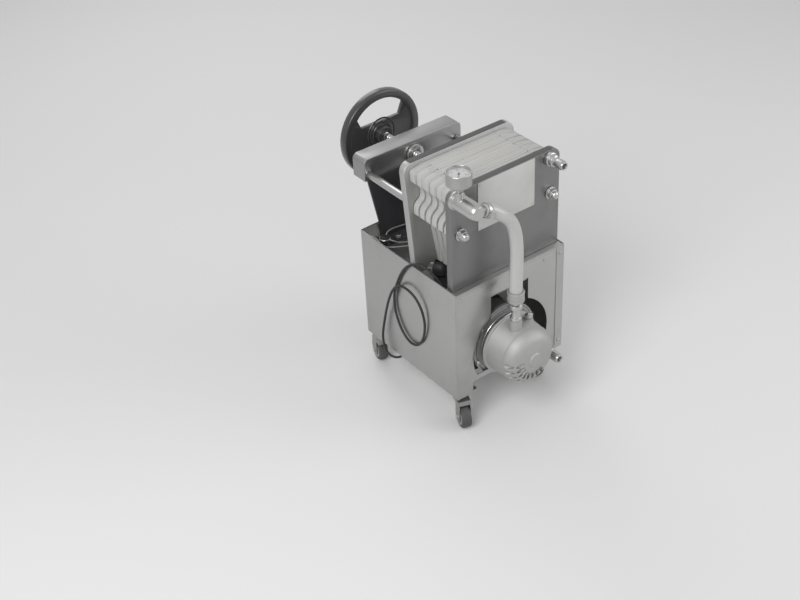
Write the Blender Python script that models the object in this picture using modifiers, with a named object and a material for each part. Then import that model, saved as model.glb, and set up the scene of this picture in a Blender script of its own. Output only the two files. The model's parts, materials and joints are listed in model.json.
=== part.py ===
"""Wheeled plate filter for wine, with a transfer pump, modelled in metres with +Z up.

X runs across the trolley and Y from the pump end to the handwheel end. The y values below are
measured from the outer face of the front panel; one empty carries the whole model to its origin,
which is on the floor under the middle of the bounding box.
"""
import math

import bmesh
import bpy
from mathutils import Matrix, Vector

# ---- driving dimensions (metres) -------------------------------------------------------------
WIDTH = 0.280                 # trolley box across X
DEPTH = 0.310                 # trolley box along Y
BODY_LOW, BODY_TOP = 0.086, 0.345
SHEET = 0.0015                # folded stainless sheet
GAP = 0.0003                  # kept between pieces that touch
SIDE_SHIFT = 0.00665          # world x of the trolley's middle plane
FRONT_SHIFT = -0.172          # world y of the front panel's outer face

HEAD_HALF, HEAD_TOP = 0.135, 0.563
HEAD_FRONT, HEAD_THICK = 0.0143, 0.0160
PACK_START = 0.0336           # filter pack, behind the fixed head
MOVING_FACE = 0.1424          # moving head's front face at the height of the screw
LEAN = 0.1157                 # how far it leans back for each metre of height
MOVING_THICK = 0.0161
PLATE_COUNT = 6
SHEET_THICK = 0.0044          # one filter sheet between two plates
ROD_X, ROD_Z, ROD_RADIUS = 0.112, 0.468, 0.008
AXIS_Z = 0.476                # height of the closing screw
YOKE_FRONT, YOKE_BACK = 0.302, 0.342
YOKE_LOW, YOKE_TOP, YOKE_HALF = 0.455, 0.504, 0.1240
THREAD_RADIUS = 0.0050        # stepped rear end of a tie rod

WHEEL_FRONT, WHEEL_DEPTH, WHEEL_RADIUS = 0.408, 0.020, 0.097

PUMP_X, PUMP_Z = -0.014, 0.180
PUMP_RADIUS = 0.064
PORT_X, PORT_Y = -0.027, -0.045     # discharge port of the pump
SUCTION_X, SUCTION_Z = 0.053, 0.146
BARREL_X, BARREL_Z = -0.122, 0.548  # inlet fitting on the head
HOSE_RADIUS = 0.0130
CORD_RADIUS = 0.0026
GAUGE_X, GAUGE_Y, GAUGE_TOP = -0.1290, -0.005, 0.6195
GAUGE_RADIUS = 0.0243
OUTLET_X, OUTLET_Z = 0.107, 0.547

CASTOR_WHEEL = 0.025
CASTOR_TRAIL = 0.018
CASTORS = {                   # swivel axis (x, y) and heading of the trailing wheel, degrees
    "front_left": (-0.110, 0.030, -110.0),
    "front_right": (0.112, 0.030, 135.0),
    "rear_left": (-0.118, 0.288, 75.0),
    "rear_right": (0.113, 0.286, 75.0),
}

STEEL = ((0.62, 0.62, 0.61), 0.38, 1.0)
STEEL_DARK = ((0.30, 0.30, 0.30), 0.45, 1.0)
CHROME = ((0.75, 0.75, 0.75), 0.15, 1.0)
CASTING = ((0.60, 0.60, 0.60), 0.5, 0.8)
BLACK = ((0.02, 0.02, 0.02), 0.5, 0.0)
DARK_PAINT = ((0.05, 0.05, 0.055), 0.45, 0.0)
GREY_PAINT = ((0.22, 0.23, 0.25), 0.45, 0.0)
WHITE_PLASTIC = ((0.80, 0.80, 0.78), 0.5, 0.0)
FILTER_PAPER = ((0.85, 0.82, 0.74), 0.9, 0.0)
MILKY = ((0.72, 0.74, 0.72), 0.35, 0.0)
BLACK_RUBBER = ((0.03, 0.03, 0.03), 0.8, 0.0)
GREY_RUBBER = ((0.16, 0.16, 0.16), 0.75, 0.0)
LABEL = ((0.75, 0.75, 0.74), 0.4, 0.0)
GLASS = ((0.9, 0.9, 0.9), 0.05, 0.0)

# ---- scene ---------------------------------------------------------------------------------
for leftover in list(bpy.data.objects):
    bpy.data.objects.remove(leftover)

parts = bpy.data.collections.new("wheeled_plate_filter")
cutters = bpy.data.collections.new("cutters")
for group in (parts, cutters):
    bpy.context.scene.collection.children.link(group)

base = bpy.data.objects.new("origin_on_floor", None)
base.location = (SIDE_SHIFT, FRONT_SHIFT, 0.0)
parts.objects.link(base)


# ---- helpers -------------------------------------------------------------------------------
def paint(obj, look):
    colour, roughness, metallic = look
    material = bpy.data.materials.new(obj.name)
    material.use_nodes = True
    shader = material.node_tree.nodes["Principled BSDF"]
    shader.inputs["Base Color"].default_value = (*colour, 1.0)
    shader.inputs["Roughness"].default_value = roughness
    shader.inputs["Metallic"].default_value = metallic
    obj.data.materials.clear()
    obj.data.materials.append(material)


def add(name, data, look=None, location=(0.0, 0.0, 0.0), turn=None):
    """Link one object; without a look it is a cutter or a piece of a union, and stays hidden."""
    obj = bpy.data.objects.new(name, data)
    obj.location = location
    if turn is not None:
        obj.rotation_euler = turn.to_euler()
    obj.parent = base
    if look is None:
        cutters.objects.link(obj)
        obj.hide_render = True
        obj.display_type = "WIRE"
    else:
        parts.objects.link(obj)
        paint(obj, look)
    return obj


def toward(axis):
    """Rotation that carries +Z onto the named axis."""
    return {
        "z": Matrix.Identity(3),
        "y": Matrix.Rotation(-math.pi / 2, 3, "X"),
        "-x": Matrix.Rotation(-math.pi / 2, 3, "Y"),
    }[axis]


def bevel(obj, width, segments=2):
    modifier = obj.modifiers.new("edge", "BEVEL")
    modifier.width = width
    modifier.segments = segments
    modifier.limit_method = "ANGLE"
    return obj


def box(name, x, y, z, look=None, edge=0.0, origin=(0.0, 0.0, 0.0)):
    """A block given by its ranges; its mesh is measured from origin."""
    ranges = (x, y, z)
    bm = bmesh.new()
    bmesh.ops.create_cube(bm, size=1.0)
    bmesh.ops.scale(bm, vec=[high - low for low, high in ranges], verts=bm.verts)
    middle = Vector([(low + high) / 2 for low, high in ranges]) - Vector(origin)
    bmesh.ops.translate(bm, vec=middle, verts=bm.verts)
    mesh = bpy.data.meshes.new(name)
    bm.to_mesh(mesh)
    bm.free()
    obj = add(name, mesh, look, origin)
    return bevel(obj, edge) if edge else obj


def turned(name, profile, axis, centre, look=None, steps=28):
    """A solid of revolution: (radius, along) points, outer side first from the far end back."""
    closed = profile[0][0] > 0.0
    bm = bmesh.new()
    points = [bm.verts.new((radius, 0.0, along)) for radius, along in profile]
    for start, end in zip(points, points[1:]):
        bm.edges.new((start, end))
    if closed:
        bm.edges.new((points[-1], points[0]))
    mesh = bpy.data.meshes.new(name)
    bm.to_mesh(mesh)
    bm.free()
    obj = add(name, mesh, look, centre, toward(axis))
    screw = obj.modifiers.new("turn", "SCREW")
    screw.axis = "Z"
    screw.steps = steps
    screw.render_steps = steps
    screw.use_merge_vertices = True
    screw.merge_threshold = 0.00001
    screw.use_smooth_shade = True
    return obj


def rod(name, radius, start, end, axis, centre, look=None, steps=20):
    """A plain cylinder from start to end along the axis."""
    profile = [(0.0, end), (radius, end), (radius, start), (0.0, start)]
    return turned(name, profile, axis, centre, look, steps)


def ring(name, inner, outer, start, end, axis, centre, look=None, steps=28):
    profile = [(outer, end), (outer, start), (inner, start), (inner, end)]
    return turned(name, profile, axis, centre, look, steps)


def hexagon(name, across, start, end, axis, centre, look=None):
    return rod(name, across / math.sqrt(3.0), start, end, axis, centre, look, steps=6)


def arc(centre, radius, start, end, count):
    """Points on a circle from one angle to another, in degrees."""
    cx, cy = centre
    angles = [math.radians(start + (end - start) * i / count) for i in range(count + 1)]
    return [(cx + radius * math.cos(a), cy + radius * math.sin(a)) for a in angles]


def mirrored(half):
    """The whole outline of a shape given by its +X half, from top to bottom."""
    return half + [(-x, z) for x, z in reversed(half)]


def slab(name, loops, low, high, plane, look=None):
    """A flat outline with holes, thick from low to high along Y (plane XZ) or Z (plane XY)."""
    curve = bpy.data.curves.new(name, "CURVE")
    curve.dimensions = "2D"
    curve.fill_mode = "BOTH"
    curve.extrude = (high - low) / 2
    for loop in loops:
        spline = curve.splines.new("POLY")
        spline.points.add(len(loop) - 1)
        for point, (u, v) in zip(spline.points, loop):
            point.co = (u, v, 0.0, 1.0)
        spline.use_cyclic_u = True
    source = bpy.data.objects.new(name + "_curve", curve)
    bpy.context.scene.collection.objects.link(source)
    evaluated = source.evaluated_get(bpy.context.evaluated_depsgraph_get())
    mesh = bpy.data.meshes.new_from_object(evaluated)
    bpy.data.objects.remove(source)
    bm = bmesh.new()
    bm.from_mesh(mesh)
    bmesh.ops.remove_doubles(bm, verts=bm.verts, dist=0.00001)
    middle = (low + high) / 2
    if plane == "XZ":
        place = Matrix.Translation((0.0, middle, 0.0)) @ Matrix.Rotation(math.pi / 2, 4, "X")
    else:
        place = Matrix.Translation((0.0, 0.0, middle))
    bmesh.ops.transform(bm, matrix=place, verts=bm.verts)
    bmesh.ops.recalc_face_normals(bm, faces=bm.faces)
    bm.to_mesh(mesh)
    bm.free()
    mesh.materials.clear()
    return add(name, mesh, look)


def combine(target, others, operation):
    for other in others:
        modifier = target.modifiers.new(other.name, "BOOLEAN")
        modifier.operation = operation
        modifier.object = other
    return target


def cut(target, *others):
    return combine(target, others, "DIFFERENCE")


def join(target, *others):
    return combine(target, others, "UNION")


def wire(name, points, radius, look, resolution=3):
    curve = bpy.data.curves.new(name, "CURVE")
    curve.dimensions = "3D"
    curve.bevel_depth = radius
    curve.bevel_resolution = resolution
    curve.use_fill_caps = True
    spline = curve.splines.new("POLY")
    spline.points.add(len(points) - 1)
    for target, point in zip(spline.points, points):
        target.co = (*point, 1.0)
    return add(name, curve, look)


def smooth_route(points, spacing):
    """Points at equal steps along a smooth curve through the given points."""
    route = [Vector(p) for p in points]
    ends = [route[0] * 2 - route[1]] + route + [route[-1] * 2 - route[-2]]
    dense = []
    for a, b, c, d in zip(ends, ends[1:], ends[2:], ends[3:]):
        for i in range(20):
            t = i / 20
            cubic = (b * 3 - a - c * 3 + d) * t ** 3
            dense.append((b * 2 + (c - a) * t + (a * 2 - b * 5 + c * 4 - d) * t ** 2 + cubic) / 2)
    dense.append(route[-1])
    total = sum((q - p).length for p, q in zip(dense, dense[1:]))
    count = round(total / spacing)
    result, walked, index = [dense[0]], 0.0, 0
    for step in range(1, count):
        goal = total * step / count
        while walked + (dense[index + 1] - dense[index]).length < goal:
            walked += (dense[index + 1] - dense[index]).length
            index += 1
        piece = dense[index + 1] - dense[index]
        result.append(dense[index] + piece * ((goal - walked) / piece.length))
    result.append(dense[-1])
    return result


def swing(objects, point, heading):
    """Carry pieces built around the origin to a point, turned about Z."""
    spin = Matrix.Rotation(math.radians(heading), 3, "Z")
    for obj in objects:
        obj.rotation_euler = (spin @ obj.rotation_euler.to_matrix()).to_euler()
        obj.location = spin @ obj.location + Vector(point)


# ---- trolley -------------------------------------------------------------------------------
def trolley():
    corner = 0.004
    inner = corner - SHEET
    half, near = WIDTH / 2, SHEET + GAP
    wall = [(-half, near)]
    wall += arc((-half + corner, DEPTH - corner), corner, 180, 90, 4)
    wall += arc((half - corner, DEPTH - corner), corner, 90, 0, 4)
    wall += [(half, near), (half - SHEET, near)]
    wall += arc((half - corner, DEPTH - corner), inner, 0, 90, 4)
    wall += arc((-half + corner, DEPTH - corner), inner, 90, 180, 4)
    wall += [(-half + SHEET, near)]
    wrap = slab("trolley_wrap", [wall], BODY_LOW, BODY_TOP, "XY", STEEL)
    cut(wrap, box("rear_window", (-0.095, 0.095), (DEPTH - 0.01, DEPTH + 0.01), (0.125, 0.285)))

    leg, apron, strip = 0.100, 0.114, 0.126
    panel = [(-half, BODY_TOP), (half, BODY_TOP), (half, BODY_LOW), (leg, BODY_LOW), (leg, apron),
             (-leg, apron), (-leg, BODY_LOW), (-half, BODY_LOW)]
    centre, radius = (0.0, 0.167), 0.098
    notch_left, notch_right, notch_top = -0.052, 0.045, 0.304
    right = math.degrees(math.acos(notch_right / radius))
    left = math.degrees(math.acos(notch_left / radius))
    low = math.degrees(math.asin((strip - centre[1]) / radius))
    keyhole = [(notch_left, notch_top), (notch_right, notch_top)]
    keyhole += arc(centre, radius, right, low, 14)
    keyhole += arc(centre, radius, 180 - low, left, 14)
    slab("front_panel", [panel, keyhole], 0.0, SHEET, "XZ", STEEL)

    plate_low, plate_top = BODY_LOW + 0.0005, BODY_LOW + 0.0035
    x_out, x_in, y_near, y_far = 0.1372, 0.088, 0.0021, 0.3072
    outline = [(-x_out, y_near), (-x_in, y_near), (-x_in, 0.05), (x_in, 0.05), (x_in, y_near),
               (x_out, y_near), (x_out, y_far), (x_in, y_far), (x_in, 0.215), (-x_in, 0.215),
               (-x_in, y_far), (-x_out, y_far), (-x_out, 0.222), (-0.124, 0.222), (-0.124, 0.175),
               (-x_out, 0.175)]
    slab("base_plate", [outline], plate_low, plate_top, "XY", STEEL)


def drip_tray():
    tray = box("drip_tray", (-0.1372, 0.1372), (0.0021, 0.3072), (0.3, 0.3435), STEEL)
    cut(tray, box("tray_inside", (-0.1357, 0.1357), (0.0330, 0.3057), (0.302, 0.36)),
        box("tray_under_front", (-0.1357, 0.1357), (0.0039, 0.0312), (0.29, 0.3417)))
    for side in (-1, 1):
        x = sorted((side * 0.040, side * 0.048))
        join(tray, box("plate_rail", x, (0.0320, 0.2720), (0.301, 0.3400)))


def castors():
    axle_z, cheek = CASTOR_WHEEL, 0.0135
    for name, (x, y, heading) in CASTORS.items():
        neck = [(0.0, 0.0862), (0.0190, 0.0862), (0.0190, 0.0790), (0.0140, 0.0770), (0.0140, 0.0660),
                (0.0, 0.0660)]
        fork = turned("castor_fork_" + name, neck, "z", (0, 0, 0), STEEL_DARK, 20)
        pieces = [box("castor_bridge", (-0.012, 0.026), (-cheek, cheek), (0.0560, 0.0680))]
        for side in (-1, 1):
            y_range = sorted((side * (cheek - 0.0025), side * cheek))
            pieces.append(box("castor_cheek", (0.006, 0.029), y_range, (0.018, 0.0570)))
        pieces.append(rod("castor_axle", 0.003, -0.0150, 0.0150, "y", (CASTOR_TRAIL, 0, axle_z), steps=12))
        join(fork, *pieces)
        tread = [(0.0033, 0.010), (0.0235, 0.010), (CASTOR_WHEEL, 0.0075), (CASTOR_WHEEL, -0.0075),
                 (0.0235, -0.010), (0.0033, -0.010)]
        wheel = turned("castor_wheel_" + name, tread, "y", (CASTOR_TRAIL, 0, axle_z), GREY_RUBBER, 28)
        swing([fork, wheel] + pieces, (x, y, 0.0), heading)


# ---- motor and pump ------------------------------------------------------------------------
def motor():
    centre = (PUMP_X, 0.0, PUMP_Z)
    shaft_hole = 0.0072
    body = ring("motor_body", shaft_hole, 0.058, 0.0621, 0.2000, "y", centre, GREY_PAINT, 32)
    foot = box("motor_foot", (PUMP_X - 0.045, PUMP_X + 0.045), (0.085, 0.175), (0.0898, 0.130))
    join(body, foot)
    cup = [(0.0590, 0.2003), (0.0590, 0.2430), (0.0, 0.2430)]
    outer = [(0.0, 0.2450), (0.0600, 0.2450), (0.0610, 0.2440), (0.0610, 0.2003)]
    cover = turned("fan_cover", outer + cup, "y", centre, DARK_PAINT, 32)
    for i in range(4):
        height = 0.010 * (i - 1.5)
        slot = box("fan_slot", (-0.045, 0.045), (0.24, 0.25), (height - 0.003, height + 0.003))
        slot.location = centre
        cut(cover, slot)

    terminal = box("terminal_box", (-0.050, 0.022), (0.105, 0.160), (0.2383, 0.2720), DARK_PAINT, 0.003)
    cut(terminal, box("rocker_pocket", (-0.0205, -0.0075), (0.1545, 0.1650), (0.2453, 0.2647)))
    gland = [(0.0, 0.0637), (0.0050, 0.0637), (0.0060, 0.0600), (0.0075, 0.0570), (0.0075, 0.0503),
             (0.0, 0.0503)]
    turned("cord_gland", gland, "-x", (0.0, 0.132, 0.254), BLACK, 24)
    box("switch_rocker", (-0.020, -0.008), (0.1580, 0.1640), (0.246, 0.264), BLACK, 0.0008,
        origin=(-0.014, 0.1605, 0.255))


def pump():
    centre = (PUMP_X, 0.0, PUMP_Z)
    bore = 0.0072
    bell = [(0.0500, 0.0618), (0.0620, 0.0618), (0.0620, 0.0240), (0.0800, 0.0140), (0.0800, 0.0060),
            (0.0520, 0.0030), (0.0520, -0.0082), (0.0440, -0.0082), (0.0440, 0.0500), (bore, 0.0500),
            (bore, 0.0560), (0.0500, 0.0560)]
    turned("pump_adapter", bell, "y", centre, STEEL_DARK, 32)

    drum = [(0.0440, -0.0085), (0.0680, -0.0085), (0.0680, -0.0130), (PUMP_RADIUS, -0.0140),
            (0.0610, -0.0600), (0.0500, -0.0600), (0.0500, -0.0360), (bore, -0.0360), (bore, -0.0300),
            (0.0440, -0.0300)]
    body = turned("pump_body", drum, "y", centre, CASTING, 36)
    port_axis = (PORT_X, PORT_Y, 0.0)
    side_boss = rod("suction_boss", 0.0155, -0.0600, -0.0140, "y", (SUCTION_X, 0.0, SUCTION_Z))
    top_boss = rod("discharge_boss", 0.0125, 0.2310, 0.2620, "z", port_axis)
    join(body, side_boss, top_boss)
    cut(body, rod("discharge_bore", 0.0080, 0.2150, 0.2700, "z", port_axis, steps=24))

    face = [(0.0, -0.0603), (0.0610, -0.0603), (0.0600, -0.0660), (0.0560, -0.0760), (0.0480, -0.0850),
            (0.0400, -0.0880), (0.0160, -0.0890), (0.0140, -0.0920), (0.0, -0.0920)]
    cover = turned("pump_cover", face, "y", centre, CASTING, 36)
    for i in range(8):
        angle = math.radians(-182.0 + 17.0 * i)
        out = Vector((math.cos(angle), 0.0, math.sin(angle)))
        start = Vector(centre) + out * 0.030 + Vector((0.0, -0.0920, 0.0))
        end = Vector(centre) + out * 0.070 + Vector((0.0, -0.0620, 0.0))
        groove = rod("cover_groove", 0.0045, 0.0, (end - start).length, "z", start, steps=12)
        groove.rotation_euler = (end - start).to_track_quat("Z", "Y").to_euler()
        cut(cover, groove)

    rotor = [(0.0, 0.2320), (0.0100, 0.2320), (0.0100, 0.2240), (0.0500, 0.2240), (0.0500, 0.2180),
             (0.0060, 0.2180), (0.0060, -0.0400), (0.0460, -0.0400), (0.0460, -0.0520),
             (0.0100, -0.0520), (0.0100, -0.0560), (0.0, -0.0560)]
    turned("pump_rotor", rotor, "y", centre, STEEL_DARK, 28)

    port = [(0.0060, 0.3115), (0.0088, 0.3115), (0.0088, 0.3010), (0.0130, 0.2990), (0.0130, 0.2900),
            (0.0088, 0.2880), (0.0088, 0.2700), (0.0118, 0.2690), (0.0118, 0.2623), (0.0060, 0.2623)]
    turned("discharge_port", port, "z", port_axis, CHROME, 20)
    ring("hose_union_nut", HOSE_RADIUS + 0.0004, 0.0168, 0.3080, 0.3310, "z", port_axis, CASTING, 24)

    barb = [(0.0, -0.0603), (0.0130, -0.0603), (0.0130, -0.0650), (0.0095, -0.0660), (0.0095, -0.0740),
            (0.0105, -0.0740), (0.0090, -0.0810), (0.0105, -0.0810), (0.0088, -0.0880),
            (0.0062, -0.0880), (0.0062, -0.0640), (0.0, -0.0640)]
    turned("suction_barb", barb, "y", (SUCTION_X, 0.0, SUCTION_Z), CHROME, 20)
    plug = hexagon("priming_plug", 0.014, 0.2425, 0.2500, "z", (0.0, 0.0, 0.0), CHROME)
    plug.location = (0.012, -0.038, 0.0)
    seat = rod("priming_seat", 0.0100, 0.2300, 0.2422, "z", (0.012, -0.038, 0.0), steps=24)
    join(body, seat)


# ---- filter frame --------------------------------------------------------------------------
def head_outline(half, low, top, radius=0.020):
    side = arc((half - radius, top - radius), radius, 90, 0, 6)
    return mirrored(side + [(half, low)])


def both_rods(name, radius, start, end):
    return [rod(name, radius, start, end, "y", (side * ROD_X, 0.0, ROD_Z), steps=28) for side in (-1, 1)]


def frame():
    back = HEAD_FRONT + HEAD_THICK
    head = slab("fixed_head", [head_outline(HEAD_HALF, 0.3438, HEAD_TOP)], HEAD_FRONT, back, "XZ", STEEL)
    cut(head, *both_rods("head_hole", 0.0083, 0.0, 0.05))
    face = HEAD_FRONT - GAP
    box("label_plate", (-0.070, 0.070), (face - 0.001, face), (0.458, 0.5615), LABEL)

    for side, letter in ((-1, "left"), (1, "right")):
        centre = (side * ROD_X, 0.0, ROD_Z)
        shoulder = YOKE_FRONT - GAP
        stepped = [(0.0, 0.3150), (THREAD_RADIUS, 0.3150), (THREAD_RADIUS, shoulder),
                   (ROD_RADIUS, shoulder), (ROD_RADIUS, HEAD_FRONT), (0.0, HEAD_FRONT)]
        turned("tie_rod_" + letter, stepped, "y", centre, CHROME, 28)
        nut = rod("acorn_nut_" + letter, 0.0130, face - 0.002, face, "y", centre, CHROME, 28)
        dome = [(0.0, 0.0040), (0.0085, 0.0040), (0.0085, -0.0010), (0.0070, -0.0040), (0.0040, -0.0060),
                (0.0, -0.0068)]
        join(nut, hexagon("nut_hex", 0.019, 0.0030, face - 0.001, "y", centre),
             turned("nut_dome", dome, "y", centre, steps=24))
        rear = hexagon("rear_nut_" + letter, 0.013, 0.3058, 0.3130, "y", centre, CHROME)
        cut(rear, rod("rear_nut_bore", THREAD_RADIUS + GAP, 0.30, 0.32, "y", centre, steps=28))

    bar = slab("yoke_crossbar", [head_outline(YOKE_HALF, YOKE_LOW, YOKE_TOP, 0.012)], YOKE_FRONT,
               YOKE_BACK, "XZ", STEEL)
    wall = 0.0035
    inside = head_outline(YOKE_HALF - wall, YOKE_LOW + wall, YOKE_TOP - wall, 0.0085)
    hollow = slab("yoke_hollow", [inside], YOKE_FRONT + wall, YOKE_BACK + 0.01, "XZ")
    nut_hole = rod("screw_nut_hole", 0.0151, 0.29, 0.31, "y", (0.0, 0.0, AXIS_Z), steps=32)
    cut(bar, hollow, nut_hole, *both_rods("yoke_hole", THREAD_RADIUS + GAP, 0.29, 0.31))
    top = YOKE_LOW - GAP
    foot_low, foot_half = 0.3023, 0.090
    trapezoid = mirrored([(0.118, top), (foot_half, 0.316), (foot_half, foot_low)])
    column = slab("yoke_column", [trapezoid], 0.3005, 0.3053, "XZ", DARK_PAINT)
    join(column, box("yoke_foot", (-0.086, 0.086), (0.276, 0.3050), (foot_low, foot_low + 0.004)))

    bush = [(0.0148, 0.3180), (0.0148, 0.3017), (0.0200, 0.3017), (0.0200, 0.2940), (0.0084, 0.2940),
            (0.0084, 0.3180)]
    turned("screw_nut", bush, "y", (0.0, 0.0, AXIS_Z), CHROME, 36)


def lean(obj, near_share=1.0, far_share=1.0):
    """Shift each point along Y with its height, the near face and the far face by their own shares."""
    middle = sum(v.co.y for v in obj.data.vertices) / len(obj.data.vertices)
    for v in obj.data.vertices:
        share = near_share if v.co.y < middle else far_share
        v.co.y += share * LEAN * (v.co.z - AXIS_Z)
    return obj


def closing_gear():
    rear = MOVING_FACE + MOVING_THICK
    half, radius, inside_tray = HEAD_HALF + 0.002, 0.020, 0.1335
    shoulder = arc((half - radius, HEAD_TOP - radius), radius, 90, 0, 6) + [(half, 0.3475)]
    skid = [(inside_tray, 0.3460), (inside_tray, 0.3350), (0.1275, 0.3292), (0.1120, 0.3290),
            (0.1000, 0.3405)]
    head = lean(slab("moving_head", [mirrored(shoulder + skid)], MOVING_FACE, rear, "XZ", STEEL))
    axis = (0.0, 0.0, AXIS_Z)
    boss = rod("thrust_boss", 0.020, rear - 0.006, rear + 0.019, "y", axis)
    seat = rod("thrust_seat", 0.0088, rear + 0.009, rear + 0.03, "y", axis)
    cut(join(head, boss), seat, *both_rods("guide_hole", 0.0088, 0.12, 0.19))

    end = WHEEL_FRONT + WHEEL_DEPTH + 0.008
    screw = rod("closing_screw", 0.0080, rear + 0.0095, end, "y", axis, CHROME)
    hub_back = WHEEL_FRONT + WHEEL_DEPTH + 0.001
    join(screw, hexagon("screw_cap", 0.024, hub_back + GAP, end - 0.001, "y", axis))

    rim_inner = 0.080
    y0, y1, soft = WHEEL_FRONT, WHEEL_FRONT + WHEEL_DEPTH, 0.004
    rim = [(rim_inner, y1), (WHEEL_RADIUS - soft, y1), (WHEEL_RADIUS - 0.0012, y1 - 0.0012),
           (WHEEL_RADIUS, y1 - soft), (WHEEL_RADIUS, y0 + soft), (WHEEL_RADIUS - 0.0012, y0 + 0.0012),
           (WHEEL_RADIUS - soft, y0), (rim_inner, y0)]
    wheel = turned("handwheel", rim, "y", axis, BLACK, 48)
    window = arc((0.0, 0.0), 0.079, 139, 41, 12)
    low = [(0.049, 0.027), (-0.049, 0.027)]
    above = [(x, AXIS_Z + z) for x, z in window + low]
    below = [(x, AXIS_Z - z) for x, z in window + low]
    web = slab("wheel_web", [arc((0.0, AXIS_Z), 0.082, 0, 350, 35), above, below], y0 + 0.005, y0 + 0.014,
               "XZ")
    hub = rod("wheel_hub", 0.019, y0 - 0.012, hub_back, "y", axis)
    flange = rod("wheel_flange", 0.030, y0 + 0.002, y0 + 0.006, "y", axis)
    cut(join(wheel, web, flange, hub), rod("wheel_bore", 0.0084, 0.35, 0.45, "y", axis))


def ear_pad():
    """The thick part of an ear, which meets the next plate and leaves room for the sheet."""
    pad = [(0.0860, 0.5545), (0.0980, 0.5545)] + arc((0.1180, 0.5450), 0.0066, 80, 0, 3)
    return pad + arc((0.1180, 0.5310), 0.0066, 0, -50, 3) + [(0.1085, 0.5170), (0.0860, 0.5170)]


def plate_outline():
    """Ears at the top corners, and hooks that hang the plate on the tie rods."""
    ear = [(0.098, 0.555)] + arc((0.1180, 0.5450), 0.0070, 80, 0, 3)
    ear += arc((0.1180, 0.5310), 0.0070, 0, -50, 3)
    notch = [(0.1100, 0.5155), (0.1060, 0.5050), (0.1058, 0.4960), (0.1090, 0.4890)]
    hook = [(0.1160, 0.4850), (0.1225, 0.4790), (0.1255, 0.4710), (0.1258, 0.4600), (0.1230, 0.4565),
            (0.1205, 0.4590)]
    hook += arc((ROD_X, ROD_Z), ROD_RADIUS + 0.0012, -35, 215, 10)
    flank = [(0.1035, 0.4550), (0.0985, 0.4410), (0.0915, 0.4260), (0.0830, 0.3403)]
    return mirrored(ear + notch + hook + flank)


def filter_pack():
    """Plates and sheets share the space between the heads, each a little wedged to follow the lean."""
    space = MOVING_FACE - GAP - PACK_START
    thick = (space - 2 * PLATE_COUNT * GAP - (PLATE_COUNT - 1) * SHEET_THICK) / PLATE_COUNT
    sheet_outline = [(-0.084, 0.345), (0.084, 0.345), (0.084, 0.5546), (-0.084, 0.5546)]

    def layer(name, loops, low, high, look=None):
        near, far = (low - PACK_START) / space, (high - PACK_START) / space
        return lean(slab(name, loops, low, high, "XZ", look), near, far)

    left_pad = [(-x, z) for x, z in reversed(ear_pad())]
    overlap = 0.0008
    start = PACK_START
    for number in range(1, PLATE_COUNT + 1):
        back = start + thick
        plate = layer(f"filter_plate_{number}", [plate_outline()], start, back, WHITE_PLASTIC)
        if number < PLATE_COUNT:
            sheet_back = back + GAP + SHEET_THICK
            layer(f"filter_sheet_{number}", [sheet_outline], back + GAP, sheet_back, FILTER_PAPER)
            join(plate, layer("ear_pads", [ear_pad(), left_pad], back - overlap, sheet_back))
            start = sheet_back + GAP


# ---- fittings, hose and gauge --------------------------------------------------------------
def fittings():
    face = HEAD_FRONT - GAP
    axis = (BARREL_X, 0.0, BARREL_Z)
    barrel_profile = [(0.0, face), (0.0195, face), (0.0195, 0.0090), (0.0165, 0.0080), (0.0165, -0.0450),
                      (0.0135, -0.0520), (0.0, -0.0520)]
    barrel = turned("inlet_barrel", barrel_profile, "y", axis, CHROME, 24)
    slope = math.radians(-20.0)
    along = Vector((math.cos(slope), 0.0, math.sin(slope)))
    start = Vector((BARREL_X, -0.037, BARREL_Z))
    barb = rod("hose_barb", 0.0095, 0.005, 0.0230, "z", start, steps=28)
    barb.rotation_euler = along.to_track_quat("Z", "Y").to_euler()
    boss = rod("gauge_boss", 0.0080, 0.552, 0.5770, "z", (GAUGE_X, GAUGE_Y, 0.0), steps=28)
    join(barrel, barb, boss)

    hose_start = start + along * 0.0233
    route = [hose_start, hose_start + along * 0.018, (-0.0630, -0.0430, 0.5190), (-0.0420, -0.0450, 0.4970),
             (-0.0300, -0.0450, 0.4660), (-0.0255, -0.0450, 0.4250), (-0.0262, -0.0450, 0.3800),
             (PORT_X, PORT_Y, 0.3400), (PORT_X, PORT_Y, 0.3120)]
    wire("hose", smooth_route(route, 0.016), HOSE_RADIUS, MILKY, 3)
    clamp = ring("hose_clamp", HOSE_RADIUS + 0.0008, HOSE_RADIUS + 0.0020, 0.0270, 0.0360, "z", start,
                 CHROME, 24)
    clamp.rotation_euler = along.to_track_quat("Z", "Y").to_euler()

    outlet = [(0.0, face), (0.0140, face), (0.0140, 0.0060), (0.0118, 0.0050), (0.0118, -0.0030),
              (0.0086, -0.0040), (0.0086, -0.0140), (0.0098, -0.0140), (0.0086, -0.0210),
              (0.0098, -0.0210), (0.0082, -0.0290), (0.0058, -0.0290), (0.0058, 0.0050), (0.0, 0.0050)]
    turned("outlet_barb", outlet, "y", (OUTLET_X, 0.0, OUTLET_Z), CHROME, 20)


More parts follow.
